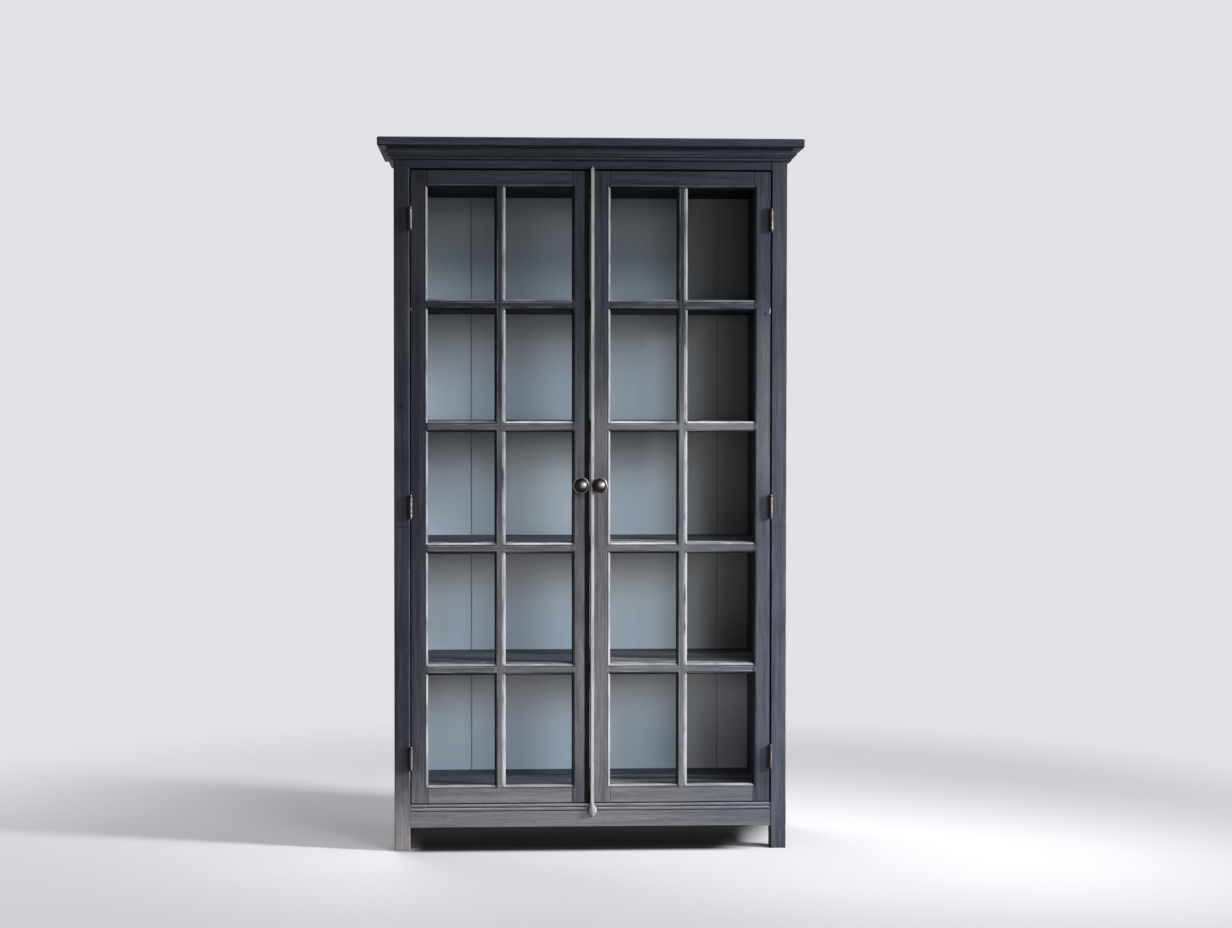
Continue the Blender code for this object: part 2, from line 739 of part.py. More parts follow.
def build_knob(name, sign, pivot):
    """A turned knob: rose, neck, flared rim and a domed head."""
    neck_end = KNOB_ROSE_THICKNESS + KNOB_NECK_LENGTH
    rim_middle = neck_end + KNOB_RIM_THICKNESS
    rim_end = rim_middle + KNOB_RIM_THICKNESS / 2
    outline = [
        (0, 0),
        (KNOB_ROSE_RADIUS, 0),
        (KNOB_ROSE_RADIUS, KNOB_ROSE_THICKNESS),
        (KNOB_NECK_RADIUS, KNOB_ROSE_THICKNESS * 2),
        (KNOB_NECK_RADIUS, neck_end),
        ((KNOB_NECK_RADIUS + KNOB_DOME_RADIUS) / 2, neck_end + KNOB_RIM_THICKNESS / 4),
        *arc(
            (KNOB_RIM_RADIUS - KNOB_RIM_THICKNESS / 2, rim_middle),
            (KNOB_RIM_THICKNESS / 2, KNOB_RIM_THICKNESS / 2),
            -90, 90, KNOB_RIM_STEPS,
        ),
        *arc((0, rim_end), (KNOB_DOME_RADIUS, KNOB_DOME_RADIUS), 0, 90, KNOB_DOME_STEPS),
    ]
    bm = bmesh.new()
    middle = MEETING_EDGES["left"] + MEETING_EDGES["right"] + KNOB_SPACING * sign
    centre = Vector((middle / 2, FRONT - SEAT_GAP, DOOR_FOOT + KNOB_ABOVE_DOOR_FOOT))
    turned(bm, outline, centre, (0, -1, 0))
    add_piece(f"{name}_knob", bm, "bronze", pivot, smooth=True)


def build_meeting_strip(meeting, pivot):
    """A half-round strip on the door's meeting edge; it ends in a turned drop and a small tip."""
    drop_shares = [
        (0.00, 1.00), (0.24, 0.98), (0.52, 0.90), (0.82, 0.75), (0.98, 0.62), (1.00, 0.53),
        (0.92, 0.40), (0.72, 0.27),
    ]
    neck_share = 0.14
    tip_shares = [(0.80, 0.00), (1.10, 0.22), (0.95, 0.46), (0.50, 0.70), (0.26, 0.90), (0.00, 1.00)]
    outline = [(DROP_RADIUS * out, DOOR_FOOT - DROP_LENGTH * down) for out, down in drop_shares]
    outline += [(STRIP_RADIUS, DOOR_FOOT - DROP_LENGTH * neck_share), (STRIP_RADIUS, DOOR_HEAD)]
    outline += [(STRIP_RADIUS * out, DOOR_HEAD + TIP_LENGTH * up) for out, up in tip_shares]
    centre = Vector((meeting + STRIP_RADIUS, FRONT - SEAT_GAP, 0))
    bm = bmesh.new()
    turned(bm, outline, centre, (0, 0, 1), angle=-pi, steps=STRIP_STEPS)
    rim = [edge for edge in bm.edges if edge.is_boundary]
    bmesh.ops.contextual_create(bm, geom=rim)
    add_piece("right_door_meeting_strip", bm, "frame_wood", pivot, smooth=True)


def build_strike(name, meeting, sign, pivot):
    across = sorted((
        meeting + sign * STRIKE_FROM_EDGE,
        meeting + sign * (STRIKE_FROM_EDGE + STRIKE_WIDTH),
    ))
    middle = CEILING_UNDERSIDE - SEAT_GAP - CATCH_HEIGHT / 2
    board(
        f"{name}_strike",
        (across[0], DOOR_BACK + SEAT_GAP, middle - STRIKE_HEIGHT / 2),
        (across[1], DOOR_BACK + SEAT_GAP + STRIKE_THICKNESS, middle + STRIKE_HEIGHT / 2),
        "catch_steel",
        ease=SEAT_GAP,
        pivot=pivot,
    )


def build_catch():
    """A double catch under the ceiling board, behind the two meeting stiles."""
    middle = (MEETING_EDGES["left"] + MEETING_EDGES["right"]) / 2
    front = DOOR_BACK + STRIKE_THICKNESS + 2 * SEAT_GAP + STOP_GAP
    board(
        "door_catch",
        (middle - CATCH_WIDTH / 2, front, CEILING_UNDERSIDE - SEAT_GAP - CATCH_HEIGHT),
        (middle + CATCH_WIDTH / 2, front + CATCH_DEPTH, CEILING_UNDERSIDE - SEAT_GAP),
        "catch_steel",
    )


# Hinges: the frame leaf carries the pin with its turned tips, the door leaf turns on it
def knuckle_spans(height):
    """Foot and head of each knuckle, from the foot up, with a running gap between them."""
    pitch = HINGE_LENGTH / HINGE_KNUCKLES
    foot = height - HINGE_LENGTH / 2
    spans = [(foot + pitch * index, foot + pitch * (index + 1)) for index in range(HINGE_KNUCKLES)]
    return [(low + SEAT_GAP / 2, high - SEAT_GAP / 2) for low, high in spans]


def leaf_plate(height, near, into, tabs):
    """A leaf let into the wood from near, with tabs that reach into the walls of its knuckles."""
    foot, head = height - HINGE_LENGTH / 2, height + HINGE_LENGTH / 2
    tab_end = HINGE_AXIS_Y + HINGE_TAB_REACH
    outline = [(front_at(HINGE_LEAF_WIDTH), foot), (front_at(HINGE_LEAF_WIDTH), head), (FRONT, head)]
    for low, high in reversed(tabs):
        outline += [(FRONT, high), (tab_end, high), (tab_end, low), (FRONT, low)]
    outline.append((FRONT, foot))
    return drawn_bar(
        outline,
        lambda depth, level: Vector((near, depth, level)),
        lambda depth, level: Vector((near + into * HINGE_LEAF_THICKNESS, depth, level)),
    )


def barrel_outline(spans):
    """Radii up the frame leaf's barrel: turned tips, its own knuckles, and the pin between them."""
    foot, head = spans[0][0], spans[-1][1]
    tip_shares = [(0.62, 0.10), (0.86, 0.35), (0.82, 0.62), (0.46, 0.90), (0.00, 1.00)]
    tip = [(HINGE_BARREL_RADIUS * out, HINGE_TIP_LENGTH * far) for out, far in tip_shares]
    outline = [(radius, foot - length) for radius, length in reversed(tip)]
    for low, high in spans:
        outline += [
            (HINGE_PIN_RADIUS, low),
            (HINGE_BARREL_RADIUS, low),
            (HINGE_BARREL_RADIUS, high),
            (HINGE_PIN_RADIUS, high),
        ]
    return outline + [(radius, head + length) for radius, length in tip]


def build_hinge(side, sign, place, pivot):
    height = HINGE_HEIGHTS[place]
    spans = knuckle_spans(height)
    frame_spans, door_spans = spans[0::2], spans[1::2]
    axis = Vector((sign * HINGE_AXIS_X, HINGE_AXIS_Y, 0))
    name = f"hinge_{side}_{place}"

    barrel = bmesh.new()
    turned(barrel, barrel_outline(frame_spans), axis, (0, 0, 1), steps=HINGE_STEPS)
    frame_leaf = add_piece(f"{name}_frame_leaf", barrel, "hinge_iron", smooth=True)
    plate = leaf_plate(height, sign * OPENING_HALF, sign, frame_spans)
    combine(frame_leaf, add_cutter(f"{name}_frame_plate", plate), "UNION")

    plate = leaf_plate(height, sign * DOOR_EDGE, -sign, door_spans)
    door_leaf = add_piece(f"{name}_door_leaf", plate, "hinge_iron", pivot)
    for number, (low, high) in enumerate(door_spans, start=1):
        wall = [
            (HINGE_BORE_RADIUS, low),
            (HINGE_BARREL_RADIUS, low),
            (HINGE_BARREL_RADIUS, high),
            (HINGE_BORE_RADIUS, high),
            (HINGE_BORE_RADIUS, low),
        ]
        tube = bmesh.new()
        turned(tube, wall, axis, (0, 0, 1), steps=HINGE_STEPS)
        combine(door_leaf, add_cutter(f"{name}_door_knuckle_{number}", tube, pivot), "UNION")


clear_scene()
build_posts()
build_front_rails()
build_rear_rail()
build_sides()
build_linings()
build_shelves()
build_ceiling_and_floor()
build_back()
build_top_board()
build_crown()
build_catch()
for side, sign in SIDES.items():
    door_axis = build_door(side, sign)
    for place in HINGE_HEIGHTS:
        build_hinge(side, sign, place, door_axis)
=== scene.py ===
"""Studio scene of a tall display cabinet in dark slate-blue stained wood with glazed doors."""

import json
from math import cos, pi, radians, sin, tan

import bmesh
import bpy
from mathutils import Euler, Matrix, Vector


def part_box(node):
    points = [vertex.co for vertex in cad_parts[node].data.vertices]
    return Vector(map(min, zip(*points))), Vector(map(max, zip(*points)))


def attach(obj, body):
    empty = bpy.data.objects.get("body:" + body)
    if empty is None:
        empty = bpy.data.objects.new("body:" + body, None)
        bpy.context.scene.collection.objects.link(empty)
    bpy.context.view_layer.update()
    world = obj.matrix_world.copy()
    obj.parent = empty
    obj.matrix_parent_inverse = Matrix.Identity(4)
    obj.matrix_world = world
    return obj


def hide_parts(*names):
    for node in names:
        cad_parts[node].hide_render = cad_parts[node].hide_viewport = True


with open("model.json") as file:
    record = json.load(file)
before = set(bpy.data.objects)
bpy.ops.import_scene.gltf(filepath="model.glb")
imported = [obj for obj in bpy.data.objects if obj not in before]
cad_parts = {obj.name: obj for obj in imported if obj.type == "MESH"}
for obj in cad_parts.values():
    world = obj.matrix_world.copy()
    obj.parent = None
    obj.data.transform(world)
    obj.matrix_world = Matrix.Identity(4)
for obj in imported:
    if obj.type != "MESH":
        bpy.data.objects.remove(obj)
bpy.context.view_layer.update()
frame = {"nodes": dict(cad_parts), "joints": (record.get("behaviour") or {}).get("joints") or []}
nodes = frame["nodes"]


# Corner posts: square pine posts from the top board down to the floor, planed, stained slate
# blue and waxed. The stain is rubbed thin along the arrises and worn to bare wood at the feet,
# and painted light and shade lie over it: highlights on arrises, a pool of light low on the
# right, lifted and darkened bands, and shade in the gaps beside the doors.
class Value:
    """One socket of a shader tree; Python's operators on it add Math nodes."""

    def __init__(self, paint, socket):
        self.paint = paint
        self.socket = socket

    def maths(self, operation, *operands):
        values = dict(enumerate(operands))
        return self.paint.node("ShaderNodeMath", {"operation": operation}, values)

    def __add__(self, other):
        return self.maths("ADD", self, other)

    def __radd__(self, other):
        return self.maths("ADD", other, self)

    def __sub__(self, other):
        return self.maths("SUBTRACT", self, other)

    def __rsub__(self, other):
        return self.maths("SUBTRACT", other, self)

    def __mul__(self, other):
        return self.maths("MULTIPLY", self, other)

    def __abs__(self):
        return self.maths("ABSOLUTE", self)


class Paint:
    """A material with its Principled shader, and the nodes that are added to it."""

    def __init__(self, name):
        self.material = bpy.data.materials.new(name)
        self.material.use_nodes = True
        self.tree = self.material.node_tree
        self.shader = self.tree.nodes["Principled BSDF"]

    def node(self, kind, settings=None, values=None, out=0):
        """Add a node, make its settings, feed its inputs and return one of its outputs."""
        made = self.tree.nodes.new(kind)
        for name, setting in (settings or {}).items():
            if name == "stops":
                self.set_stops(made.color_ramp, setting)
            else:
                setattr(made, name, setting)
        for name, value in (values or {}).items():
            self.feed(made.inputs[name], value)
        return Value(self, made.outputs[out])

    def set_stops(self, ramp, stops):
        while len(ramp.elements) < len(stops):
            ramp.elements.new(1.0)
        for element, (place, colour) in zip(ramp.elements, stops):
            element.position = place
            element.color = (*colour, 1.0)

    def feed(self, socket, value):
        if isinstance(value, Value):
            self.tree.links.new(value.socket, socket)
        elif socket.type == "RGBA" and len(value) == 3:
            socket.default_value = (*value, 1.0)
        else:
            socket.default_value = value

    def finish(self, **inputs):
        """Feed the Principled shader; Base_Color stands for its Base Color."""
        for name, value in inputs.items():
            self.feed(self.shader.inputs[name.replace("_", " ")], value)
        return self.material

    def place(self, out="Object"):
        return self.node("ShaderNodeTexCoord", out=out)

    def noise(self, place, scale, detail=3.0, roughness=0.55, distortion=0.0):
        values = {"Vector": place, "Scale": scale, "Detail": detail}
        values |= {"Roughness": roughness, "Distortion": distortion}
        return self.node("ShaderNodeTexNoise", None, values)

    def step(self, value, low, high):
        """Rise smoothly from 0 to 1 while value goes from low to high."""
        settings = {"interpolation_type": "SMOOTHSTEP"}
        return self.node("ShaderNodeMapRange", settings, {0: value, 1: low, 2: high})

    def between(self, value, rise, fall):
        """1 on a span of value that begins with a smooth rise and ends with a smooth fall."""
        return self.step(value, *rise) * self.step(value, *fall)

    def smaller(self, one, other):
        return self.node("ShaderNodeMath", {"operation": "MINIMUM"}, {0: one, 1: other})

    def larger(self, one, other):
        return self.node("ShaderNodeMath", {"operation": "MAXIMUM"}, {0: one, 1: other})

    def mix(self, share, one, other):
        values = {0: share, 6: one, 7: other}
        return self.node("ShaderNodeMix", {"data_type": "RGBA"}, values, out=2)

    def parts(self, vector):
        """The three numbers of a vector."""
        return [
            self.node("ShaderNodeSeparateXYZ", None, {0: vector}, out=axis) for axis in range(3)
        ]

    def moved(self, place, offset, scale):
        values = {"Vector": place, "Location": offset, "Scale": scale}
        return self.node("ShaderNodeMapping", {"vector_type": "POINT"}, values)

    def spot(self, place, centre, radii):
        """Distance from a centre, where 1 is the rim of an ellipsoid with these radii."""
        scale = [1 / radius for radius in radii]
        offset = [-middle * share for middle, share in zip(centre, scale)]
        local = self.moved(place, offset, scale)
        return self.node("ShaderNodeVectorMath", {"operation": "LENGTH"}, {0: local}, out="Value")

    def slant(self):
        """0 on faces square to the piece's axes, rising over rounded arrises and mouldings."""
        x, y, z = [abs(part) for part in self.parts(self.place("Normal"))]
        return 1.0 - self.larger(self.larger(x, y), z)

    def arris_distance(self, low, high):
        """Distance in metres from the nearest long arris of a box."""
        x, y, z = [
            self.smaller(part - near, far - part)
            for part, near, far in zip(self.parts(self.place()), low, high)
        ]
        return self.larger(self.smaller(x, y), self.smaller(self.larger(x, y), z))

    def bump(self, height, strength, distance):
        values = {"Strength": strength, "Distance": distance, "Height": height}
        return self.node("ShaderNodeBump", None, values, out="Normal")


STAIN_DEEP = (0.015, 0.017, 0.023)
STAIN_BODY = (0.032, 0.035, 0.045)
STAIN_THIN = (0.062, 0.066, 0.082)
STAIN_PAINTED_LIGHT = (0.200, 0.197, 0.207)
STAIN_PAINTED_LIGHT_BLUE = (0.100, 0.109, 0.137)
RUBBED_AND_LIT = (0.415, 0.423, 0.444)
RUBBED_AND_LIT_WARM = (0.470, 0.435, 0.415)
BARE_WOOD = (0.400, 0.300, 0.220)
KNOT = (0.012, 0.011, 0.012)
PORE_AND_SHADE = (0.010, 0.011, 0.014)
GRIME_AND_PAINTED_SHADE = (0.003, 0.003, 0.004)
PAINTED_LIGHT_GREY = (0.250, 0.243, 0.245)
PALE_HIGHLIGHT = (0.800, 0.775, 0.750)
FOOT_PAINTED_LIGHT = (0.420, 0.390, 0.370)
BAND_REACH = 0.06
BELOW_ALL, ABOVE_ALL = -1.0, 3.0
OVOLO = ((0.0016, 0.0024), (0.0110, 0.0095))
QUIRK = ((0.0008, 0.0012), (0.0022, 0.0017))
BAR_TOP_ARRIS = 0.0120


def scaled(colour, share):
    return [part * share for part in colour]


def butted(box, axis, low_end=True, high_end=True):
    """The box run on past the ends that butt against another piece, where nothing rubs it."""
    low, high = (Vector(corner) for corner in box)
    index = "XYZ".index(axis)
    low[index] -= float(low_end)
    high[index] += float(high_end)
    return low, high


def stained_wood(
    name, box, grain, seed, rub_and_highlight=0.55, shade=1.0, foot_shade=0.0, all_round=False,
    moulded_from=None, bare_and_lit_below=None, cross_bars=None, covered=(), joints=(), knots=(),
    chips=(), grimy=(), lines=(), washes=(),
):
    """Slate-blue stain over softwood whose grain runs along the axis named grain, with painted
    light and shade in its colour.

    knots lists centres with a radius, and chips centres with three radii. rub is the share of
    stain that is lost at the arrises, and so of a painted highlight on the arrises that face
    right or up. covered lists spans of height that other pieces cover, and joints the places
    along X or Y where another piece butts; arrises keep their stain there. moulded_from is the
    front of a moulding, whose quirks get painted shade. bare_and_lit_below is the height under
    which the wood is bare from wear, and the painted pool of light reaches a little above it.
    cross_bars gives the upright bar's middle, the bars' half width and the heights of the bars
    that run across it; their upper arrises get a painted highlight. grimy lists spans along an
    axis, with the softness of their ends, that are painted near black as shade. all_round says
    that the wood is a strip, thinned and painted light on every side but its far left, which
    gets painted shade. shade scales the stain as painted light and shade, and foot_shade is the
    share of the painted pool of light that is missing at the foot. lines lists lines of wear or
    soiling as an axis, a place along it, a colour and a share. washes lists spans of height with
    a colour that the stain turns to and a share, as painted bands of light and shade.
    """
    paint = Paint(name)
    place = paint.place()
    x, y, height = paint.parts(place)
    along = {"X": x, "Y": y, "Z": height}
    offset = (seed * 1.37, seed * 2.11, seed * 0.73)
    if cross_bars:
        middle, half, bar_heights = cross_bars

    def drawn_out(share):
        """Places whose length along the grain shrinks to a share, for grain and streaks."""
        stretch = [share if axis == grain else 1.0 for axis in "XYZ"]
        upright = paint.moved(place, offset, stretch)
        if not cross_bars:
            return upright
        across = paint.moved(place, offset, (share, 1.0, 1.0))
        beyond = paint.step(abs(x - middle), half - 0.0001, half + 0.0001)
        values = {0: beyond, 4: upright, 5: across}
        return paint.node("ShaderNodeMix", {"data_type": "VECTOR"}, values, out=1)

    fibres = drawn_out(0.035)
    streak = paint.noise(fibres, 70.0, 3.0, 0.55, 0.4)
    fibre = paint.noise(fibres, 380.0, 4.0, 0.6, 0.2)
    pores = paint.step(paint.noise(fibres, 1100.0, 2.0, 0.5), 0.60, 0.72)
    cloud = paint.noise(place, 3.2, 2.0)
    patch = paint.noise(drawn_out(0.3), 42.0, 4.0)
    uneven = paint.step(patch, 0.34, 0.62)

    # The stain along the grain, with a painted pool of light low down and on the right, painted
    # bands of light and shade, and open pores.
    tone = streak * 0.40 + fibre * 0.42 + cloud * 0.18
    stops = [(0.38, STAIN_DEEP), (0.52, STAIN_BODY), (0.68, STAIN_THIN)]
    stops = [(tone_at, scaled(stain, shade)) for tone_at, stain in stops]
    colour = paint.node("ShaderNodeValToRGB", {"stops": stops}, {0: tone})
    low_down = paint.step(height, 1.50, 0.10)
    inward = paint.larger(paint.step(x, -0.50, -0.39), paint.step(height, 0.30, 0.12))
    painted_light_pool = paint.step(x * 1.1 - height, -1.60, -0.55) * inward
    # The painted pool of light also covers the worn foot, and some pieces lose part of it at the
    # foot.
    if bare_and_lit_below:
        painted_light_pool = paint.larger(painted_light_pool, paint.step(height, bare_and_lit_below * 3.2, bare_and_lit_below * 2.2))
    if foot_shade:
        painted_light_pool = painted_light_pool * (1.0 - paint.step(height, 0.32, 0.17) * foot_shade)
    lit_stain = paint.mix(paint.step(x, 0.08, 0.44), STAIN_PAINTED_LIGHT, STAIN_PAINTED_LIGHT_BLUE)
    painted_light = painted_light_pool * (0.45 + paint.step(streak * 0.4 + fibre * 0.6, 0.38, 0.62) * 0.55)
    colour = paint.mix(painted_light * 0.70, colour, lit_stain)
    # Painted bands of light and shade: spans of height where the stain is lifted or darkened.
    for foot, head, tint, share in washes:
        rise = (foot - BAND_REACH, foot + BAND_REACH)
        fall = (head + BAND_REACH, head - BAND_REACH)
        within = paint.between(height, rise, fall)
        colour = paint.mix(within * (0.5 + streak) * share, colour, tint)
    colour = paint.mix(pores * 0.55, colour, PORE_AND_SHADE)

    # Arrises: rubbed pale, with a painted highlight on those that face right or up, and painted
    # shade on those turned away and on a strip's far left side.
    near = paint.step(paint.arris_distance(*box), 0.0035, 0.0) * 0.25
    edge = paint.smaller(near + paint.step(paint.slant(), 0.01, 0.20), 1.0)
    for axis, joint in joints:
        edge = edge * paint.step(abs(along[axis] - joint), 0.0020, 0.0030)
    if moulded_from is not None:
        behind_front = y - moulded_from
        edge = paint.larger(edge, paint.between(behind_front, *OVOLO))
    for foot, head in covered:
        hidden = paint.between(height, (foot, foot + 0.001), (head, head - 0.001))
        edge = edge * (1.0 - hidden)
    facing = paint.parts(paint.place("Normal"))
    if all_round:
        painted_shade_mask = paint.step(facing[0], -0.70, -0.98)
        edge = 1.0 - painted_shade_mask
    else:
        painted_shade_mask = edge * paint.step(facing[0] + facing[2] * 0.8, -0.04, -0.22)
        edge = edge * paint.step(facing[0] + facing[2] * 0.45, -0.20, 0.45)
    if cross_bars:
        from_middle = abs(x - middle)
        from_top = 1.0
        for bar_height in bar_heights:
            from_middle = paint.smaller(from_middle, abs(height - bar_height))
            from_top = paint.smaller(from_top, abs(height - bar_height - BAR_TOP_ARRIS))
        arris = paint.step(from_middle, half * 0.33, half * 0.40)
        arris = arris * paint.step(behind_front, 0.0006, 0.0)
        edge = paint.larger(edge, arris * paint.step(patch, 0.36, 0.60) * 0.7)
    rubbed_and_lit = edge * (0.45 + uneven * 0.55)
    colour = paint.mix(rubbed_and_lit * rub_and_highlight, colour, RUBBED_AND_LIT_WARM if all_round else RUBBED_AND_LIT)
    if cross_bars:
        # Painted highlight on the cross bars' upper arrises and on the upright bar's right arris.
        pale_highlight = paint.step(from_top, 0.0028, 0.0014)
        pale_highlight = pale_highlight * paint.step(abs(x - middle), half, half + 0.004)
        pale_highlight = pale_highlight * paint.between(height, (0.30, 1.10), (1.40, 1.30))
        reached = paint.larger(paint.step(x, -0.27, -0.23), paint.step(height, 1.00, 0.90))
        pale_highlight = pale_highlight * reached
        upright = paint.between(x - middle, (0.0050, 0.0062), (0.0108, 0.0090))
        for bar_height in bar_heights:
            upright = upright * paint.step(abs(height - bar_height), half - 0.002, half + 0.002)
        pale_highlight = paint.larger(pale_highlight, upright * (0.35 + paint.step(height, 1.75, 1.10) * 0.45))
        colour = paint.mix(pale_highlight * paint.step(patch, 0.28, 0.56) * 0.7, colour, PALE_HIGHLIGHT)
    if all_round:
        # The strip has a painted highlight on the left of its round and keeps its stain on the
        # right, down to the drop.
        across = x - (box[0].x + box[1].x) / 2
        marked = paint.step(height, 0.118, 0.128) * 0.75
        colour = paint.mix(paint.step(across, 0.0008, -0.0032) * marked, colour, PALE_HIGHLIGHT)
        colour = paint.mix(paint.step(across, 0.0024, 0.0042) * marked, colour, STAIN_BODY)
    # Painted shade in the quirks joins that of the arrises turned away, laid on in near black.
    if moulded_from is not None:
        painted_shade_mask = paint.larger(painted_shade_mask, paint.between(behind_front, *QUIRK))
    colour = paint.mix(painted_shade_mask * 0.92, colour, GRIME_AND_PAINTED_SHADE)
    for axis, line, tint, share in lines:
        near_line = paint.step(abs(along[axis] - line), 0.0012, 0.0006)
        colour = paint.mix(near_line * (0.4 + uneven * 0.6) * share, colour, tint)

    # Bare wood at worn places, painted shade over the given spans, then knots and chips.
    bare = edge * paint.step(patch, 0.60, 0.72) * (0.15 + low_down * 0.85)
    if bare_and_lit_below:
        foot = paint.step(height + (patch - 0.5) * 0.03, bare_and_lit_below, bare_and_lit_below * 0.6)
        bare = paint.larger(bare, foot * paint.larger(edge, paint.step(fibre, 0.40, 0.64) * 0.25))
    colour = paint.mix(bare * 0.75, colour, BARE_WOOD)
    for axis, start, end, softness in grimy:
        in_shade = paint.between(along[axis], (start, start + softness), (end, end - softness))
        colour = paint.mix(in_shade * 0.97, colour, GRIME_AND_PAINTED_SHADE)
    for centre, radius in knots:
        away = paint.spot(place, centre, (radius, radius * 2, radius * 1.5)) + (fibre - 0.5) * 0.5
        colour = paint.mix(paint.step(away, 1.15, 0.55) * 0.75, colour, KNOT)
    for centre, radii in chips:
        away = paint.spot(place, centre, radii) + (patch - 0.5) * 1.6 + (fibre - 0.5) * 0.8
        colour = paint.mix(paint.step(away, 1.0, 0.8) * 0.85, colour, BARE_WOOD)

    relief = fibre * 0.5 + streak * 0.4 - pores * 0.35
    return paint.finish(
        Base_Color=colour,
        Roughness=0.44 + fibre * 0.20 - rubbed_and_lit * 0.08,
        Specular_IOR_Level=0.05,
        Normal=paint.bump(relief, 0.3, 0.0005),
    )


def dress(node, material):
    nodes[node].material_slots[0].material = material


RAIL_ENDS = ((0.0625, 0.1245), (1.8190, 1.8757))
# Each post's stain scale and its bands are painted light and shade, and the dark spans beside the
# door gaps are painted shade; knots and bare feet are the wood's own.
posts = {
    "post_front_left": {
        "shade": 0.95,
        "rub_and_highlight": 0.15,
        "bare_and_lit_below": 0.052,
        "knots": [((-0.507, -0.17, 1.190), 0.007)],
        "grimy": [("X", -0.4836, -0.480, 0.0004), ("X", -0.530, -0.5222, 0.0016)],
        "lines": [("Z", 0.8662, GRIME_AND_PAINTED_SHADE, 0.9), ("Z", 0.8682, GRIME_AND_PAINTED_SHADE, 0.8)],
        "washes": [
            (1.32, 1.62, STAIN_PAINTED_LIGHT, 0.09),
            (0.99, 1.09, STAIN_DEEP, 0.55),
            (0.19, 0.27, STAIN_DEEP, 0.35),
            (BELOW_ALL, 0.10, FOOT_PAINTED_LIGHT, 0.27),
        ],
    },
    "post_front_right": {
        "grimy": [("X", 0.480, 0.4843, 0.0004)],
        "lines": [("Z", 0.8660, PORE_AND_SHADE, 0.75)],
        "washes": [
            (1.50, ABOVE_ALL, STAIN_PAINTED_LIGHT, 0.13),
            (0.57, 0.63, STAIN_DEEP, 0.33),
            (BELOW_ALL, 0.03, STAIN_DEEP, 0.30),
        ],
    },
    "post_rear_left": {"bare_and_lit_below": 0.030},
    "post_rear_right": {"knots": [((0.515, 0.21, 0.640), 0.008)]},
}
for seed, (node, marks) in enumerate(posts.items(), start=1):
    dress(node, stained_wood(node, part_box(node), "Z", seed, covered=RAIL_ENDS, **marks))


# Rails of the carcass: the frieze over the doors, the reeded rail under them, the rail under
# the back, and three rails a side. Their grain runs across, and tenons hold them in the posts.
MERGE_DISTANCE = 0.00001


def show_mesh(name, bm, material, body, replaced, sharp_angle):
    """Show a bmesh on a body instead of a CAD node, smooth but for arrises over an angle."""
    mesh = bpy.data.meshes.new(name)
    bm.to_mesh(mesh)
    bm.free()
    mesh.materials.append(material)
    imported_normals = mesh.attributes.get("custom_normal")
    if imported_normals:
        mesh.attributes.remove(imported_normals)
    mesh.shade_smooth()
    mesh.set_sharp_from_angle(angle=radians(sharp_angle))
    piece = bpy.data.objects.new(name, mesh)
    bpy.context.scene.collection.objects.link(piece)
    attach(piece, body)
    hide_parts(replaced)


def show_moulded(node, material, body):
    """A copy of a moulded node, merged so that its rounds are shaded smooth."""
    bm = bmesh.new()
    bm.from_mesh(nodes[node].data)
    bmesh.ops.remove_doubles(bm, verts=bm.verts, dist=MERGE_DISTANCE)
    show_mesh(f"{node}_moulded", bm, material, body, node, sharp_angle=30)


def rail_wood(node, grain, seed, rub_and_highlight=0.55, **marks):
    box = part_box(node)
    ends = [(grain, corner["XYZ".index(grain)]) for corner in box]
    return stained_wood(node, butted(box, grain), grain, seed, rub_and_highlight=rub_and_highlight, joints=ends, **marks)


# Painted shade along the frieze's lower edge, over the doors.
dress("frieze_rail", rail_wood("frieze_rail", "X", 5, grimy=[("Z", 1.810, 1.8204, 0.0005)]))
bare_arris = ("Z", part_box("base_rail")[0].z + 0.0006, BARE_WOOD, 0.7)
# The base rail's stain is scaled lighter and lifted towards grey: painted light.
base_wood = rail_wood(
    "base_rail", "X", 6, rub_and_highlight=0.7, shade=1.15, lines=[bare_arris],
    washes=[(BELOW_ALL, ABOVE_ALL, PAINTED_LIGHT_GREY, 0.20)],
)
show_moulded("base_rail", base_wood, "carcass")
dress("rear_base_rail", rail_wood("rear_base_rail", "X", 7))
side_rails = [
    f"side_rail_{place}_{side}"
    for place in ("top", "middle", "bottom")
    for side in ("left", "right")
]
for seed, node in enumerate(side_rails, start=8):
    dress(node, rail_wood(node, "Y", seed))


# Side panels and inner linings: wide upright boards. The panels sit in the posts' grooves, and
# the linings inside are housed for the shelves.
upright_boards = ("side_panel_left", "side_panel_right", "side_lining_left", "side_lining_right")
for seed, node in enumerate(upright_boards, start=20):
    # The linings' stain is halved: painted shade inside the cabinet.
    shade = 0.5 if "lining" in node else 1.0
    dress(node, stained_wood(node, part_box(node), "Z", seed, rub_and_highlight=0.35, shade=shade))


# Top board and crown: a thick board with softened edges lies on a crown moulding with a hollow,
# a fillet and two reeds, run in one length across the front and mitred to its returns.
# The top board's and the front crown's stains are scaled lighter: painted light.
dress("top_board", stained_wood("top_board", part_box("top_board"), "X", 30, rub_and_highlight=0.4, shade=1.7))
crown = (("crown_front", "X", 1.3), ("crown_left", "Y", 1.0), ("crown_right", "Y", 1.0))
for seed, (node, grain, shade) in enumerate(crown, start=31):
    wood = stained_wood(node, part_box(node), grain, seed, rub_and_highlight=0.3, shade=shade)
    show_moulded(node, wood, "carcass")


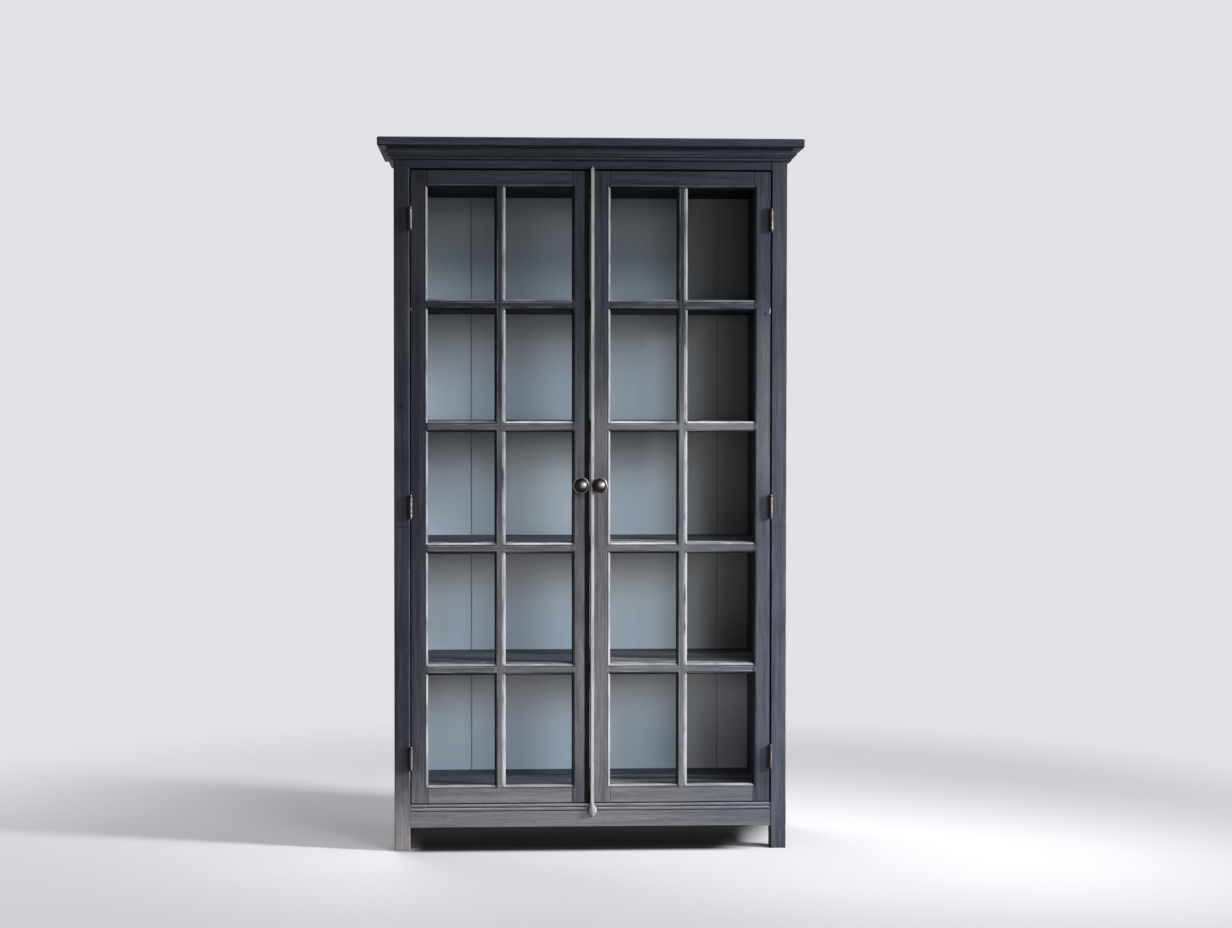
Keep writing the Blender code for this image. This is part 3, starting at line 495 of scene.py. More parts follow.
# Shelves, floor board and ceiling board: planed boards in a flat dark grey stain, dusty on top
# and rubbed along the front edge. The lower ones carry painted streaks of light on their right
# half, the undersides painted shade, and the ceiling board is painted near black as shade.
SHELF_DEEP = (0.075, 0.082, 0.104)
SHELF_BODY = (0.150, 0.162, 0.200)
SHELF_DUST = (0.220, 0.232, 0.260)
SHELF_PAINTED_LIGHT = (0.420, 0.410, 0.395)


def shelf_wood(name, box, seed, shade=1.0):
    paint = Paint(name)
    place = paint.place()
    x, y, height = paint.parts(place)
    offset = (seed * 1.9, seed * 0.7, seed * 1.1)
    fibres = paint.moved(place, offset, (0.06, 1.0, 1.0))
    streak = paint.noise(fibres, 34.0, 3.0, 0.5, 0.5)
    fibre = paint.noise(fibres, 240.0, 3.0, 0.6)
    dust = paint.noise(place, 14.0, 4.0, 0.6)
    stops = [(0.38, scaled(SHELF_DEEP, shade)), (0.62, scaled(SHELF_BODY, shade))]
    colour = paint.node("ShaderNodeValToRGB", {"stops": stops}, {0: streak * 0.6 + fibre * 0.4})
    colour = paint.mix(paint.step(dust, 0.45, 0.75) * 0.45 * shade, colour, SHELF_DUST)
    edge = paint.step(paint.arris_distance(*box), 0.006, 0.0) * paint.step(dust, 0.38, 0.58)
    colour = paint.mix(edge * 0.6, colour, RUBBED_AND_LIT)
    # Painted streaks of light over the lower shelves' right half.
    lines = paint.noise(paint.moved(place, offset, (0.030, 1.0, 1.0)), 62.0, 2.0)
    painted_lighting = paint.step(lines, 0.47, 0.54) * paint.step(height, 1.15, 0.85)
    painted_lighting = painted_lighting * paint.step(x, -0.10, 0.08) * paint.step(y, box[1].y - 0.04, box[1].y - 0.10)
    colour = paint.mix(painted_lighting * 0.95 * shade, colour, SHELF_PAINTED_LIGHT)
    # Painted shade on the undersides.
    underside = paint.step(paint.parts(paint.place("Normal"))[2], -0.3, -0.8)
    colour = paint.mix(underside * 0.9, colour, PORE_AND_SHADE)
    return paint.finish(
        Base_Color=colour,
        Roughness=0.45 + dust * 0.25,
        Specular_IOR_Level=0.06,
        Normal=paint.bump(fibre * 0.6 + streak * 0.4, 0.25, 0.0005),
    )


for seed, node in enumerate(["shelf_1", "shelf_2", "shelf_3", "shelf_4", "floor_board"]):
    dress(node, shelf_wood(node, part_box(node), seed))
# The ceiling board's stain is scaled nearly to black: painted shade.
dress("ceiling_board", shelf_wood("ceiling_board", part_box("ceiling_board"), 5, shade=0.08))


# Back: upright boards with narrow open joints, brushed with matt grey-blue paint. Painted shade
# lies under the ceiling and the shelves, over the top row and towards the right, with painted
# light on a few bays.
BACK_SEAMS = (-0.3237, 0.0243, 0.3723)
SEAM_GRIME_WIDTH = 1 / 420
SHADE_UNDER_SHELF = 0.22
PAINT_BODY = (0.730, 0.830, 0.930)
PAINT_SHADE = (0.620, 0.720, 0.820)
PAINT_NEUTRAL = (0.620, 0.595, 0.575)
PAINT_RIGHT_SHADE = (0.870, 0.820, 0.800)
PAINT_RIGHT_SHADE_HIGH = (0.476, 0.460, 0.450)
PAINT_DIM = (0.130, 0.127, 0.126)
PAINT_DIM_LOW = (0.860, 0.830, 0.960)
PAINT_SHADE_LOW = (0.250, 0.280, 0.320)
PAINT_BRIGHT = (0.950, 0.980, 1.000)
PAINT_SHADED = (0.450, 0.410, 0.385)
PAINT_SHADED_WARM = (0.880, 0.785, 0.735)
PAINT_DARKENED = (0.165, 0.180, 0.194)
PAINT_GRIME_AND_SHADE = (0.110, 0.105, 0.100)
TINTS_UNDER = {
    "ceiling_board": PAINT_NEUTRAL,
    "shelf_1": PAINT_SHADED,
    "shelf_2": PAINT_SHADED,
    "shelf_3": PAINT_SHADED_WARM,
    "shelf_4": PAINT_SHADED_WARM,
}


def painted_back(name):
    paint = Paint(name)
    place = paint.place()
    x, y, height = paint.parts(place)
    strokes = paint.moved(place, (0.4, 0.2, 0.9), (1.0, 1.0, 0.03))
    stroke = paint.noise(strokes, 190.0, 4.0, 0.6)
    wash = paint.noise(paint.moved(place, (1.0, 0.0, 3.0), (1.0, 1.0, 0.35)), 9.0, 3.0)
    board = 0.0
    for seam in BACK_SEAMS:
        board = board + paint.step(x, seam - 0.0004, seam + 0.0004)
    tone = paint.node("ShaderNodeTexWhiteNoise", {"noise_dimensions": "1D"}, {"W": board + 0.5})
    colour = paint.mix(stroke * 0.35 + wash * 0.35 + tone * 0.25, PAINT_BODY, PAINT_SHADE)
    inner_face = paint.step(paint.parts(paint.place("Normal"))[1], -0.2, -0.8)

    def tinted(mask, share, tint):
        """The paint so far, turned towards a tint where a mask lies on the inner face."""
        return paint.mix(mask * inner_face * share, colour, tint)

    # Painted shade under the ceiling and under each shelf.
    for node, tint in TINTS_UNDER.items():
        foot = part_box(node)[0].z
        rise = (foot - SHADE_UNDER_SHELF, foot - 0.02)
        under = paint.between(height, rise, (foot + 0.02, foot + 0.01))
        colour = tinted(under, 0.75, tint)
    # Painted shade over the top row, a little lighter beside the left door's upright bar.
    beside_left_bar = paint.step(abs(x + 0.135), 0.095, 0.130)
    top_row = paint.step(height, 1.44, 1.62) * (0.66 + beside_left_bar * 0.14)
    colour = tinted(top_row, 1.0, PAINT_DARKENED)
    # Painted light on the right of the third column and on one bay of the second.
    bright = paint.step(x, 0.15, 0.21) * paint.between(height, (0.46, 0.50), (1.42, 1.36))
    lit_bay = paint.between(x, (-0.25, -0.20), (-0.02, -0.05))
    lit_bay = lit_bay * paint.between(height, (0.80, 0.88), (1.14, 1.06))
    colour = tinted(paint.larger(bright, lit_bay), 0.5, PAINT_BRIGHT)
    # Painted shade low down on the right half.
    dull = paint.step(x, 0.02, 0.12) * paint.step(height, 0.40, 0.24)
    colour = tinted(dull, 0.32, PAINT_SHADE_LOW)
    # Painted shade, grey and neutral, towards the right, darker in the top row.
    painted_lighting = paint.mix(paint.step(height, 1.41, 1.47), PAINT_RIGHT_SHADE, PAINT_RIGHT_SHADE_HIGH)
    colour = tinted(paint.step(x, 0.24, 0.32), 0.85, painted_lighting)
    # Painted shade on the rightmost strip of the back, eased to a pale blue in the bottom row.
    dim = paint.mix(paint.step(height, 0.46, 0.36), PAINT_DIM, PAINT_DIM_LOW)
    colour = tinted(paint.step(x, 0.31, 0.42), 0.6, dim)
    # Painted shade at the feet of two of the rightmost bays.
    for foot, reach, share in ((0.46, 0.19, 0.62), (0.80, 0.17, 0.40)):
        shaded_foot = paint.between(height, (foot - 0.02, foot), (foot + reach, foot + 0.05))
        colour = tinted(shaded_foot * paint.step(x, 0.33, 0.41), share, PAINT_GRIME_AND_SHADE)
    joint = 1.0
    for seam in BACK_SEAMS:
        joint = paint.smaller(abs(x - seam) * (1 / SEAM_GRIME_WIDTH), joint)
    colour = paint.mix((1.0 - joint) * 0.75, colour, PAINT_GRIME_AND_SHADE)
    return paint.finish(
        Base_Color=colour,
        Roughness=0.52 + wash * 0.15,
        Normal=paint.bump(stroke, 0.2, 0.0004),
    )


dress("back_boards", painted_back("back_boards"))


# Door frames: each door is tenoned from two stiles and two rails with a quirked ovolo on their
# inner edges, mitred where they meet. A grille of the same moulding divides the glass. Its cross
# bars' upper arrises and the upright bar's right one carry a painted highlight.
# Stain scales and bands below are painted light and shade, and the dark spans at the gaps and
# beside the meeting strip are painted shade; knots and chips are the wood's own.
door_marks = {
    "left_door_hinge_stile": {
        "shade": 0.82,
        "chips": [((-0.4795, -0.172, 1.447), (0.0022, 0.02, 0.006))],
        "washes": [(1.50, 1.78, STAIN_PAINTED_LIGHT, 0.08)],
    },
    "left_door_meeting_stile": {
        "foot_shade": 0.6,
        # Painted shadow of the meeting strip on the left door's stile.
        "grimy": [("X", -0.0190, 0.010, 0.002)],
    },
    "right_door_meeting_stile": {
        "shade": 1.25,
        "washes": [(1.03, 1.20, PAINTED_LIGHT_GREY, 0.30), (0.22, 0.62, PAINTED_LIGHT_GREY, 0.18)],
    },
    "right_door_hinge_stile": {
        "shade": 1.2,
        "foot_shade": 0.7,
        "knots": [((0.467, -0.172, 1.437), 0.0040)],
        "chips": [((0.4795, -0.172, 1.444), (0.0018, 0.02, 0.009))],
        "grimy": [("X", 0.4790, 0.490, 0.0006)],
        "washes": [(1.00, 1.42, STAIN_PAINTED_LIGHT, 0.28), (0.19, 0.25, STAIN_DEEP, 0.40)],
    },
    "left_door_top_rail": {"shade": 1.25},
    "left_door_bottom_rail": {
        "shade": 1.2,
        "washes": [(BELOW_ALL, ABOVE_ALL, PAINTED_LIGHT_GREY, 0.26)],
    },
    "right_door_top_rail": {"shade": 1.1},
    "right_door_bottom_rail": {
        "shade": 1.2,
        "washes": [(BELOW_ALL, ABOVE_ALL, PAINTED_LIGHT_GREY, 0.22)],
    },
}
LIGHT_ROWS = 5
BAR_WIDTH = 0.0295
BARS_LIT = {"left_door": (0.26, 0.10), "right_door": (0.58, 0.18)}
door_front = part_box("left_door_top_rail")[0].y
for seed, (node, marks) in enumerate(door_marks.items(), start=40):
    body = "_".join(node.split("_")[:2])
    low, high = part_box(node)
    # Painted shade in the gap along each door's top.
    shade_spans = [("Z", 1.8150, 1.8300, 0.0006), *marks.pop("grimy", [])]
    # A pale line of rubbed stain and painted highlight along each top rail's moulding.
    lines = [("Z", low.z + 0.0078, RUBBED_AND_LIT, 0.35)] if "top_rail" in node else []
    if "stile" in node:
        grain = "Z"
        lights_on_right = ("left" in node) == ("hinge" in node)
        box = butted((low, high), "X", low_end=not lights_on_right, high_end=lights_on_right)
        joints = [("X", high.x if lights_on_right else low.x)]
    else:
        grain = "X"
        box = butted((low, high), "X")
        box = butted(box, "Z", low_end="top" in node, high_end="bottom" in node)
        joints = [("X", low.x), ("X", high.x)]
    wood = stained_wood(
        node, box, grain, seed, rub_and_highlight=0.72, joints=joints, moulded_from=door_front,
        grimy=shade_spans, lines=lines, **marks,
    )
    show_moulded(node, wood, body)
# The bars' bands of lifted stain are painted light, stronger on the right door.
for seed, (body, (upper_light, lower_light)) in enumerate(BARS_LIT.items()):
    node = f"{body}_glazing_bars"
    low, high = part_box(node)
    box = butted(butted((low, high), "X"), "Z")
    pitch = (high.z - low.z + BAR_WIDTH) / LIGHT_ROWS
    heights = [low.z + pitch * row - BAR_WIDTH / 2 for row in range(1, LIGHT_ROWS)]
    bars = ((low.x + high.x) / 2, BAR_WIDTH / 2, heights)
    lit_rows = [
        (1.08, 1.16, PAINTED_LIGHT_GREY, upper_light),
        (0.77, 0.83, PAINTED_LIGHT_GREY, 0.22),
        (0.10, 0.75, PAINTED_LIGHT_GREY, lower_light),
    ]
    wood = stained_wood(
        node, box, "Z", 50 + seed, rub_and_highlight=0.65, moulded_from=door_front, cross_bars=bars,
        washes=lit_rows,
    )
    show_moulded(node, wood, body)
    node = f"{body}_glazing_bead"
    dress(node, stained_wood(node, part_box(node), "Z", 52 + seed, rub_and_highlight=0.3))


# Glass: one sheet of clear window glass behind each grille, faintly green-blue and not quite
# flat. Light goes straight through it, and it mirrors the room at shallow angles.
GLASS_TINT = (0.975, 0.985, 0.985)
MIRROR_POWER = 5.0


def window_glass(name):
    paint = Paint(name)
    waves = paint.noise(paint.moved(paint.place(), (0.0, 0.0, 0.0), (1.0, 1.0, 0.45)), 11.0, 1.0)
    paint.finish(
        Base_Color=(1.0, 1.0, 1.0),
        Metallic=1.0,
        Roughness=0.03,
        Normal=paint.bump(waves, 0.08, 0.004),
    )
    clear = paint.node("ShaderNodeBsdfTransparent", None, {"Color": GLASS_TINT})
    facing = paint.node("ShaderNodeLayerWeight", None, {"Blend": 0.5}, out="Facing")
    share = paint.node("ShaderNodeMath", {"operation": "POWER"}, {0: facing, 1: MIRROR_POWER})
    mirror = Value(paint, paint.shader.outputs[0])
    sheet = paint.node("ShaderNodeMixShader", None, {0: share, 1: clear, 2: mirror})
    paint.feed(paint.tree.nodes["Material Output"].inputs["Surface"], sheet)
    return paint.material


glass = window_glass("window_glass")
dress("left_door_glass", glass)
dress("right_door_glass", glass)


# Meeting strip: a half-round batten, planed a little squarer, glued and pinned on the right
# door's edge to cover the joint. Its ends are split turnings, a small point above and a drop
# below the door.
STRIP_RADIUS = 0.00525
DROP_RADIUS = 0.012
DROP_LENGTH = 0.038
TIP_LENGTH = 0.013
DOOR_FOOT, DOOR_HEAD = 0.127, 1.8165
SQUARENESS = 3.5
SQUARED_ABOVE_FOOT = 0.010
SQUARED_BELOW_TIP = 0.002


def flowing(points, steps):
    """Points on a smooth curve through a few given ones, straight on past both ends."""
    padded = [points[0], *points, points[-1]]
    curve = []
    for before, start, end, after in zip(padded, padded[1:], padded[2:], padded[3:]):
        a, b, c, d = (Vector(point) for point in (before, start, end, after))
        for step in range(steps):
            t = step / steps
            curve.append((2 * b + (c - a) * t + (2 * a - 5 * b + 4 * c - d) * t * t
                          + (3 * b - a - 3 * c + d) * t ** 3) / 2)
    return curve + [Vector(points[-1])]


def turned(outline, centre, axis, steps, angle=2 * pi):
    """A body spun from (radius, length) points about an axis through centre."""
    bm = bmesh.new()
    side, along = Vector((1, 0, 0)), Vector(axis)
    verts = [bm.verts.new(centre + side * radius + along * length) for radius, length in outline]
    edges = [bm.edges.new(pair) for pair in zip(verts, verts[1:])]
    whole = angle == 2 * pi
    bmesh.ops.spin(
        bm, geom=verts + edges, cent=centre, axis=along, angle=angle, steps=steps, use_merge=whole
    )
    bmesh.ops.remove_doubles(bm, verts=bm.verts, dist=MERGE_DISTANCE)
    return bm


strip_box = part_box("right_door_meeting_strip")
strip_low, strip_high = strip_box
drop_shares = [
    (0.00, 1.00), (0.22, 0.985), (0.52, 0.90), (0.82, 0.75), (0.98, 0.62), (1.00, 0.53),
    (0.92, 0.40), (0.72, 0.27), (0.47, 0.15),
]
tip_shares = [
    (1.00, 0.00), (0.80, 0.04), (1.08, 0.24), (0.95, 0.46), (0.50, 0.70), (0.26, 0.90),
    (0.00, 1.00),
]
drop = [(DROP_RADIUS * out, DOOR_FOOT - DROP_LENGTH * down) for out, down in drop_shares]
tip = [(STRIP_RADIUS * out, DOOR_HEAD + TIP_LENGTH * up) for out, up in tip_shares]
shank = [(STRIP_RADIUS, DOOR_FOOT - DROP_LENGTH * 0.10), (STRIP_RADIUS, DOOR_FOOT)]
strip_middle = Vector((strip_low.x + DROP_RADIUS, strip_high.y, 0))
strip_outline = [*flowing(drop, 5), *shank, *flowing(tip, 4)]
strip = turned(strip_outline, strip_middle, (0, 0, 1), steps=24, angle=-pi)
for vert in strip.verts:
    out, ahead = vert.co.x - strip_middle.x, strip_middle.y - vert.co.y
    radius = Vector((out, ahead)).length
    above_drop = (vert.co.z - DOOR_FOOT) / SQUARED_ABOVE_FOOT + 0.4
    below_tip = (DOOR_HEAD + SQUARED_BELOW_TIP - vert.co.z) / SQUARED_BELOW_TIP
    share = min(1.0, max(0.0, above_drop), max(0.0, below_tip))
    sideways = min(1.0, abs(out) / max(radius, 1e-6))
    squarer = radius * (1 - sideways ** SQUARENESS) ** (1 / SQUARENESS)
    vert.co.y = strip_middle.y - (ahead + (squarer - ahead) * share)
bmesh.ops.contextual_create(strip, geom=[edge for edge in strip.edges if edge.is_boundary])
bmesh.ops.recalc_face_normals(strip, faces=strip.faces)
# The strip's wood carries a painted highlight and, on its far left side, painted shade.
strip_wood = stained_wood("meeting_strip", strip_box, "Z", 60, rub_and_highlight=0.85, all_round=True)
show_mesh(
    "meeting_strip_turned", strip, strip_wood, "right_door",
    "right_door_meeting_strip", sharp_angle=50,
)


# Knobs: turned bronze. A rose and a short neck carry a thin flared plate with a ball in front
# of it. Hands have kept the plate's rim copper bright, and the ball is nearly black but for a
# painted highlight at its upper right.
BRONZE_DARK = (0.007, 0.006, 0.007)
BRONZE_BROWN = (0.036, 0.020, 0.013)
COPPER = (0.680, 0.510, 0.390)
BRONZE_PAINTED_HIGHLIGHT = (0.150, 0.160, 0.180)
KNOB_RADIUS = 0.0215
BALL_RADIUS = 0.0180
BALL_FORWARD = 0.0160
HIGHLIGHT_AT = Vector((0.0075, -0.029, 0.0040))
HIGHLIGHT_RADIUS = 0.0132
ANY_DEPTH = 10.0


def bronze_with_highlight(name, centre):
    paint = Paint(name)
    place = paint.place()
    patina = paint.noise(place, 210.0, 4.0, 0.6)
    smear = paint.noise(place, 60.0, 3.0, 0.6)
    stops = [(0.36, BRONZE_DARK), (0.70, BRONZE_BROWN)]
    colour = paint.node("ShaderNodeValToRGB", {"stops": stops}, {0: patina * 0.5 + smear * 0.5})
    from_axis = paint.spot(place, centre, (KNOB_RADIUS, ANY_DEPTH, KNOB_RADIUS))
    rim = paint.step(from_axis, 0.93, 0.97) * paint.step(smear, 0.36, 0.50)
    colour = paint.mix(rim * 0.9, colour, COPPER)
    # Painted highlight: a paler patch on the ball's upper right.
    highlight_mask = paint.spot(place, centre + HIGHLIGHT_AT, [HIGHLIGHT_RADIUS] * 3)
    highlight_mask = paint.step(highlight_mask + (smear - 0.5) * 1.6 + (patina - 0.5) * 1.2, 1.05, 0.45)
    colour = paint.mix(highlight_mask * 0.9, colour, BRONZE_PAINTED_HIGHLIGHT)
    return paint.finish(
        Base_Color=colour,
        Metallic=1.0,
        Roughness=0.36 + patina * 0.16,
        Coat_Weight=0.25,
        Coat_Roughness=0.30,
        Normal=paint.bump(smear, 0.15, 0.0006),
    )


for side in ("left", "right"):
    node = f"{side}_door_knob"
    low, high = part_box(node)
    centre = Vector(((low.x + high.x) / 2, high.y, (low.z + high.z) / 2))
    foot = [(0.0, 0.0), (0.0100, 0.0), (0.0104, 0.0008), (0.0100, 0.0018), (0.0086, 0.0022)]
    neck = [
        (0.0080, 0.0024), (0.0064, 0.0042), (0.0066, 0.0076), (0.0100, 0.0104), (0.0160, 0.0117),
    ]
    rim = [
        (0.0205, 0.0121), (0.0212, 0.0127), (KNOB_RADIUS, 0.0136), (0.0213, 0.0146),
        (0.0206, 0.0152), (0.0192, 0.0154), (0.0182, 0.0155),
    ]
    turns = [radians(turn) for turn in range(0, 90, 6)]
    ball = [(BALL_RADIUS * cos(turn), BALL_FORWARD + BALL_RADIUS * sin(turn)) for turn in turns]
    outline = [*foot, *flowing(neck, 5), *rim, *ball, (0.0, BALL_FORWARD + BALL_RADIUS)]
    knob = turned(outline, centre, (0, -1, 0), steps=72)
    bmesh.ops.recalc_face_normals(knob, faces=knob.faces)
    bronze = bronze_with_highlight(node, centre)
    show_mesh(f"{side}_knob_turned", knob, bronze, f"{side}_door", node, sharp_angle=40)


# Hinges: browned iron butt hinges whose knuckles stand proud of the joint. The frame leaf holds
# the pin and its pointed ends, and both leaves are let into the wood and held by three screws.
HINGE_BARREL_RADIUS = 0.0055
HINGE_TIP_LENGTH = 0.008
HINGE_LENGTH = 0.052
HINGE_LEAF_WIDTH = 0.022
HINGE_LEAF_THICKNESS = 0.0016
HINGE_TIP_SHARES = (
    (0.47, 0.0), (0.60, 0.06), (0.84, 0.26), (0.88, 0.45), (0.74, 0.68), (0.46, 0.88), (0.0, 1.0),
)
KNUCKLE_COUNT = 5
KNUCKLE_BORE = 0.0030
KNUCKLE_ROUND = 0.0004
KNUCKLE_CLEARANCE = 0.00015
LEAF_BEHIND_BARREL = 0.0025
LEAF_EASE = 0.0002
POST_EDGE, DOOR_EDGE = 0.483, 0.4805
SCREW_RADIUS = 0.0026
SCREW_RISES = (-0.017, 0.0, 0.017)
SCREW_NEAR, SCREW_FAR = 0.009, 0.015
SCREW_TURN = 0.6
IRON_DARK = (0.010, 0.008, 0.008)
IRON_BROWN = (0.034, 0.020, 0.013)
IRON_HIGHLIGHT = {"left": (0.300, 0.270, 0.275), "right": (0.300, 0.235, 0.205)}


def browned_iron_with_highlight(name, axis, bright):
    paint = Paint(name)
    place = paint.place()
    rust = paint.noise(place, 240.0, 4.0, 0.65)
    scuff = paint.noise(paint.moved(place, (2.0, 0.0, 0.0), (1.0, 1.0, 0.25)), 320.0, 3.0)
    stops = [(0.38, IRON_DARK), (0.68, IRON_BROWN)]
    colour = paint.node("ShaderNodeValToRGB", {"stops": stops}, {0: rust})
    proud = paint.step(paint.parts(place)[1], axis.y + 0.0008, axis.y - 0.0030)
    # Painted highlight on the proud parts that face right.
    highlight_mask = paint.step(paint.parts(paint.place("Normal"))[0], 0.05, 0.60)
    painted_lighting = proud * highlight_mask * (0.25 + paint.step(scuff, 0.40, 0.60) * 0.75)
    colour = paint.mix(painted_lighting * 0.85, colour, bright)
    return paint.finish(
        Base_Color=colour,
        Metallic=0.75,
        Roughness=0.38 + rust * 0.28,
        Normal=paint.bump(rust, 0.3, 0.0004),
    )


def join(bm, other):
    """Add the faces of another bmesh, turned outwards, and free it."""
    bmesh.ops.recalc_face_normals(other, faces=other.faces)
    mesh = bpy.data.meshes.new("joined")
    other.to_mesh(mesh)
    other.free()
    bm.from_mesh(mesh)
    bpy.data.meshes.remove(mesh)


def add_turned(bm, outline, axis):
    join(bm, turned(outline, Vector((axis.x, axis.y, 0)), (0, 0, 1), steps=32))


def add_knuckle(bm, axis, low, high):
    """One hollow knuckle of the barrel with rounded ends."""
    radius, bore, ease = HINGE_BARREL_RADIUS, KNUCKLE_BORE, KNUCKLE_ROUND
    outline = [
        (bore, low), (radius - ease, low), (radius, low + ease), (radius, high - ease),
        (radius - ease, high), (bore, high), (bore, low),
    ]
    add_turned(bm, outline, axis)


def add_pin(bm, axis, foot, head):
    """The pin, whose pointed ends stand out of the barrel below and above."""
    shares = HINGE_TIP_SHARES
    tip = flowing([(HINGE_BARREL_RADIUS * out, HINGE_TIP_LENGTH * far) for out, far in shares], 4)
    below = [(radius, foot - length) for radius, length in reversed(tip)]
    above = [(radius, head + length) for radius, length in tip]
    add_turned(bm, below + above, axis)


def add_leaf(bm, near, into, front, middle):
    """A leaf let in flush from near, with its outer corners eased."""
    made = bmesh.ops.create_cube(bm, size=1.0)["verts"]
    size = Vector((HINGE_LEAF_THICKNESS, HINGE_LEAF_WIDTH + LEAF_BEHIND_BARREL, HINGE_LENGTH))
    centre = Vector((near + into * size.x / 2, front + HINGE_LEAF_WIDTH - size.y / 2, middle))
    bmesh.ops.scale(bm, verts=made, vec=size)
    bmesh.ops.translate(bm, verts=made, vec=centre)
    edges = {edge for vert in made for edge in vert.link_edges}
    bmesh.ops.bevel(
        bm, geom=list(edges), offset=LEAF_EASE, offset_type="OFFSET", affect="EDGES",
        segments=1, profile=0.5, material=-1,
    )


def add_screw(bm, place, towards):
    """A countersunk slotted head, flush in its leaf, that faces along X."""
    head = SCREW_RADIUS
    outline = [
        (0.0, 0.0003), (head * 0.7, 0.0003), (head, 0.0001), (head * 0.9, -0.0004), (0.0, -0.0004),
    ]
    other = turned(outline, Vector((0, 0, 0)), (0, 0, 1), steps=20)
    slot = bmesh.ops.create_cube(other, size=1.0)["verts"]
    bmesh.ops.scale(other, verts=slot, vec=(head * 1.7, 0.0006, 0.0001))
    bmesh.ops.translate(other, verts=slot, vec=(0, 0, 0.00033))
    for turn in (Matrix.Rotation(SCREW_TURN, 3, "Z"), Matrix.Rotation(towards * pi / 2, 3, "Y")):
        bmesh.ops.rotate(other, verts=other.verts, cent=(0, 0, 0), matrix=turn)
    bmesh.ops.translate(other, verts=other.verts, vec=place)
    join(bm, other)


hinge_axes = {joint["child"]: Vector(joint["pos_m"]) for joint in frame["joints"]}
for side, sign in (("left", -1), ("right", 1)):
    axis = hinge_axes[f"{side}_door"]
    iron = browned_iron_with_highlight(f"{side}_hinge_iron", axis, IRON_HIGHLIGHT[side])
    leaves = (
        ("frame", "carcass", sign * POST_EDGE, sign, (SCREW_NEAR, SCREW_FAR, SCREW_NEAR)),
        ("door", f"{side}_door", sign * DOOR_EDGE, -sign, (SCREW_FAR, SCREW_NEAR, SCREW_FAR)),
    )
    for place in ("top", "middle", "bottom"):
        low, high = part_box(f"hinge_{side}_{place}_frame_leaf")
        middle = (low.z + high.z) / 2
        front = high.y - HINGE_LEAF_WIDTH
        foot = middle - HINGE_LENGTH / 2
        pitch = HINGE_LENGTH / KNUCKLE_COUNT
        for first, (part, body, near, into, depths) in enumerate(leaves):
            node = f"hinge_{side}_{place}_{part}_leaf"
            bm = bmesh.new()
            for index in range(first, KNUCKLE_COUNT, 2):
                start, end = foot + pitch * index, foot + pitch * (index + 1)
                add_knuckle(bm, axis, start + KNUCKLE_CLEARANCE, end - KNUCKLE_CLEARANCE)
            if part == "frame":
                add_pin(bm, axis, foot, foot + HINGE_LENGTH)
            add_leaf(bm, near, into, front, middle)
            for rise, depth in zip(SCREW_RISES, depths):
                add_screw(bm, (near, front + depth, middle + rise), -into)
            show_mesh(f"{node}_iron", bm, iron, body, node, sharp_angle=35)


# Catch and strikes: a pressed steel double catch under the ceiling board and a thin plate on
# the back of each meeting stile, all dull from age.
STEEL_BRIGHT = (0.34, 0.34, 0.35)
STEEL_DULL = (0.17, 0.15, 0.14)


def dull_steel(name):
    paint = Paint(name)
    place = paint.place()
    brushed = paint.noise(paint.moved(place, (0.0, 0.0, 0.0), (0.1, 1.0, 1.0)), 900.0, 3.0)
    spots = paint.noise(place, 120.0, 3.0)
    return paint.finish(
        Base_Color=paint.mix(paint.step(spots, 0.4, 0.7), STEEL_BRIGHT, STEEL_DULL),
        Metallic=0.9,
        Roughness=0.34 + spots * 0.2,
        Normal=paint.bump(brushed, 0.15, 0.0002),
    )


steel = dull_steel("dull_steel")
for node in ("door_catch", "left_door_strike", "right_door_strike"):
    dress(node, steel)


# Floor: a smooth pale painted floor that runs out into the studio's background. A painted
# shadow darkens it under the cabinet.
FLOOR_RADIUS = 7.0
FLOOR_COLOUR = (0.80, 0.79, 0.82)
FLOOR_SHADE = (0.008, 0.006, 0.005)


def studio_floor(name):
    paint = Paint(name)
    place = paint.place()
    away = paint.spot(place, (0.0, 0.0, 0.0), (1.0, 1.0, 1.0))
    mottle = paint.noise(place, 1.4, 3.0)
    colour = paint.mix(mottle, FLOOR_COLOUR, scaled(FLOOR_COLOUR, 0.97))
    x, y = paint.parts(place)[:2]
    beneath = paint.step(x, -0.55, -0.44) * paint.step(x - y * 0.35, 0.53, 0.37)
    beneath = beneath * paint.between(y, (-0.210, -0.160), (0.28, 0.21))
    return paint.finish(
        Base_Color=paint.mix(beneath * 0.99, colour, FLOOR_SHADE),
        Roughness=0.6,
        Specular_IOR_Level=0.03,
        Alpha=paint.step(away, 2.7, 0.8),
    )


bm = bmesh.new()
bmesh.ops.create_circle(bm, cap_ends=True, segments=96, radius=FLOOR_RADIUS)
mesh = bpy.data.meshes.new("floor")
bm.to_mesh(mesh)
bm.free()
mesh.materials.append(studio_floor("floor"))
floor = bpy.data.objects.new("floor", mesh)
bpy.context.scene.collection.objects.link(floor)


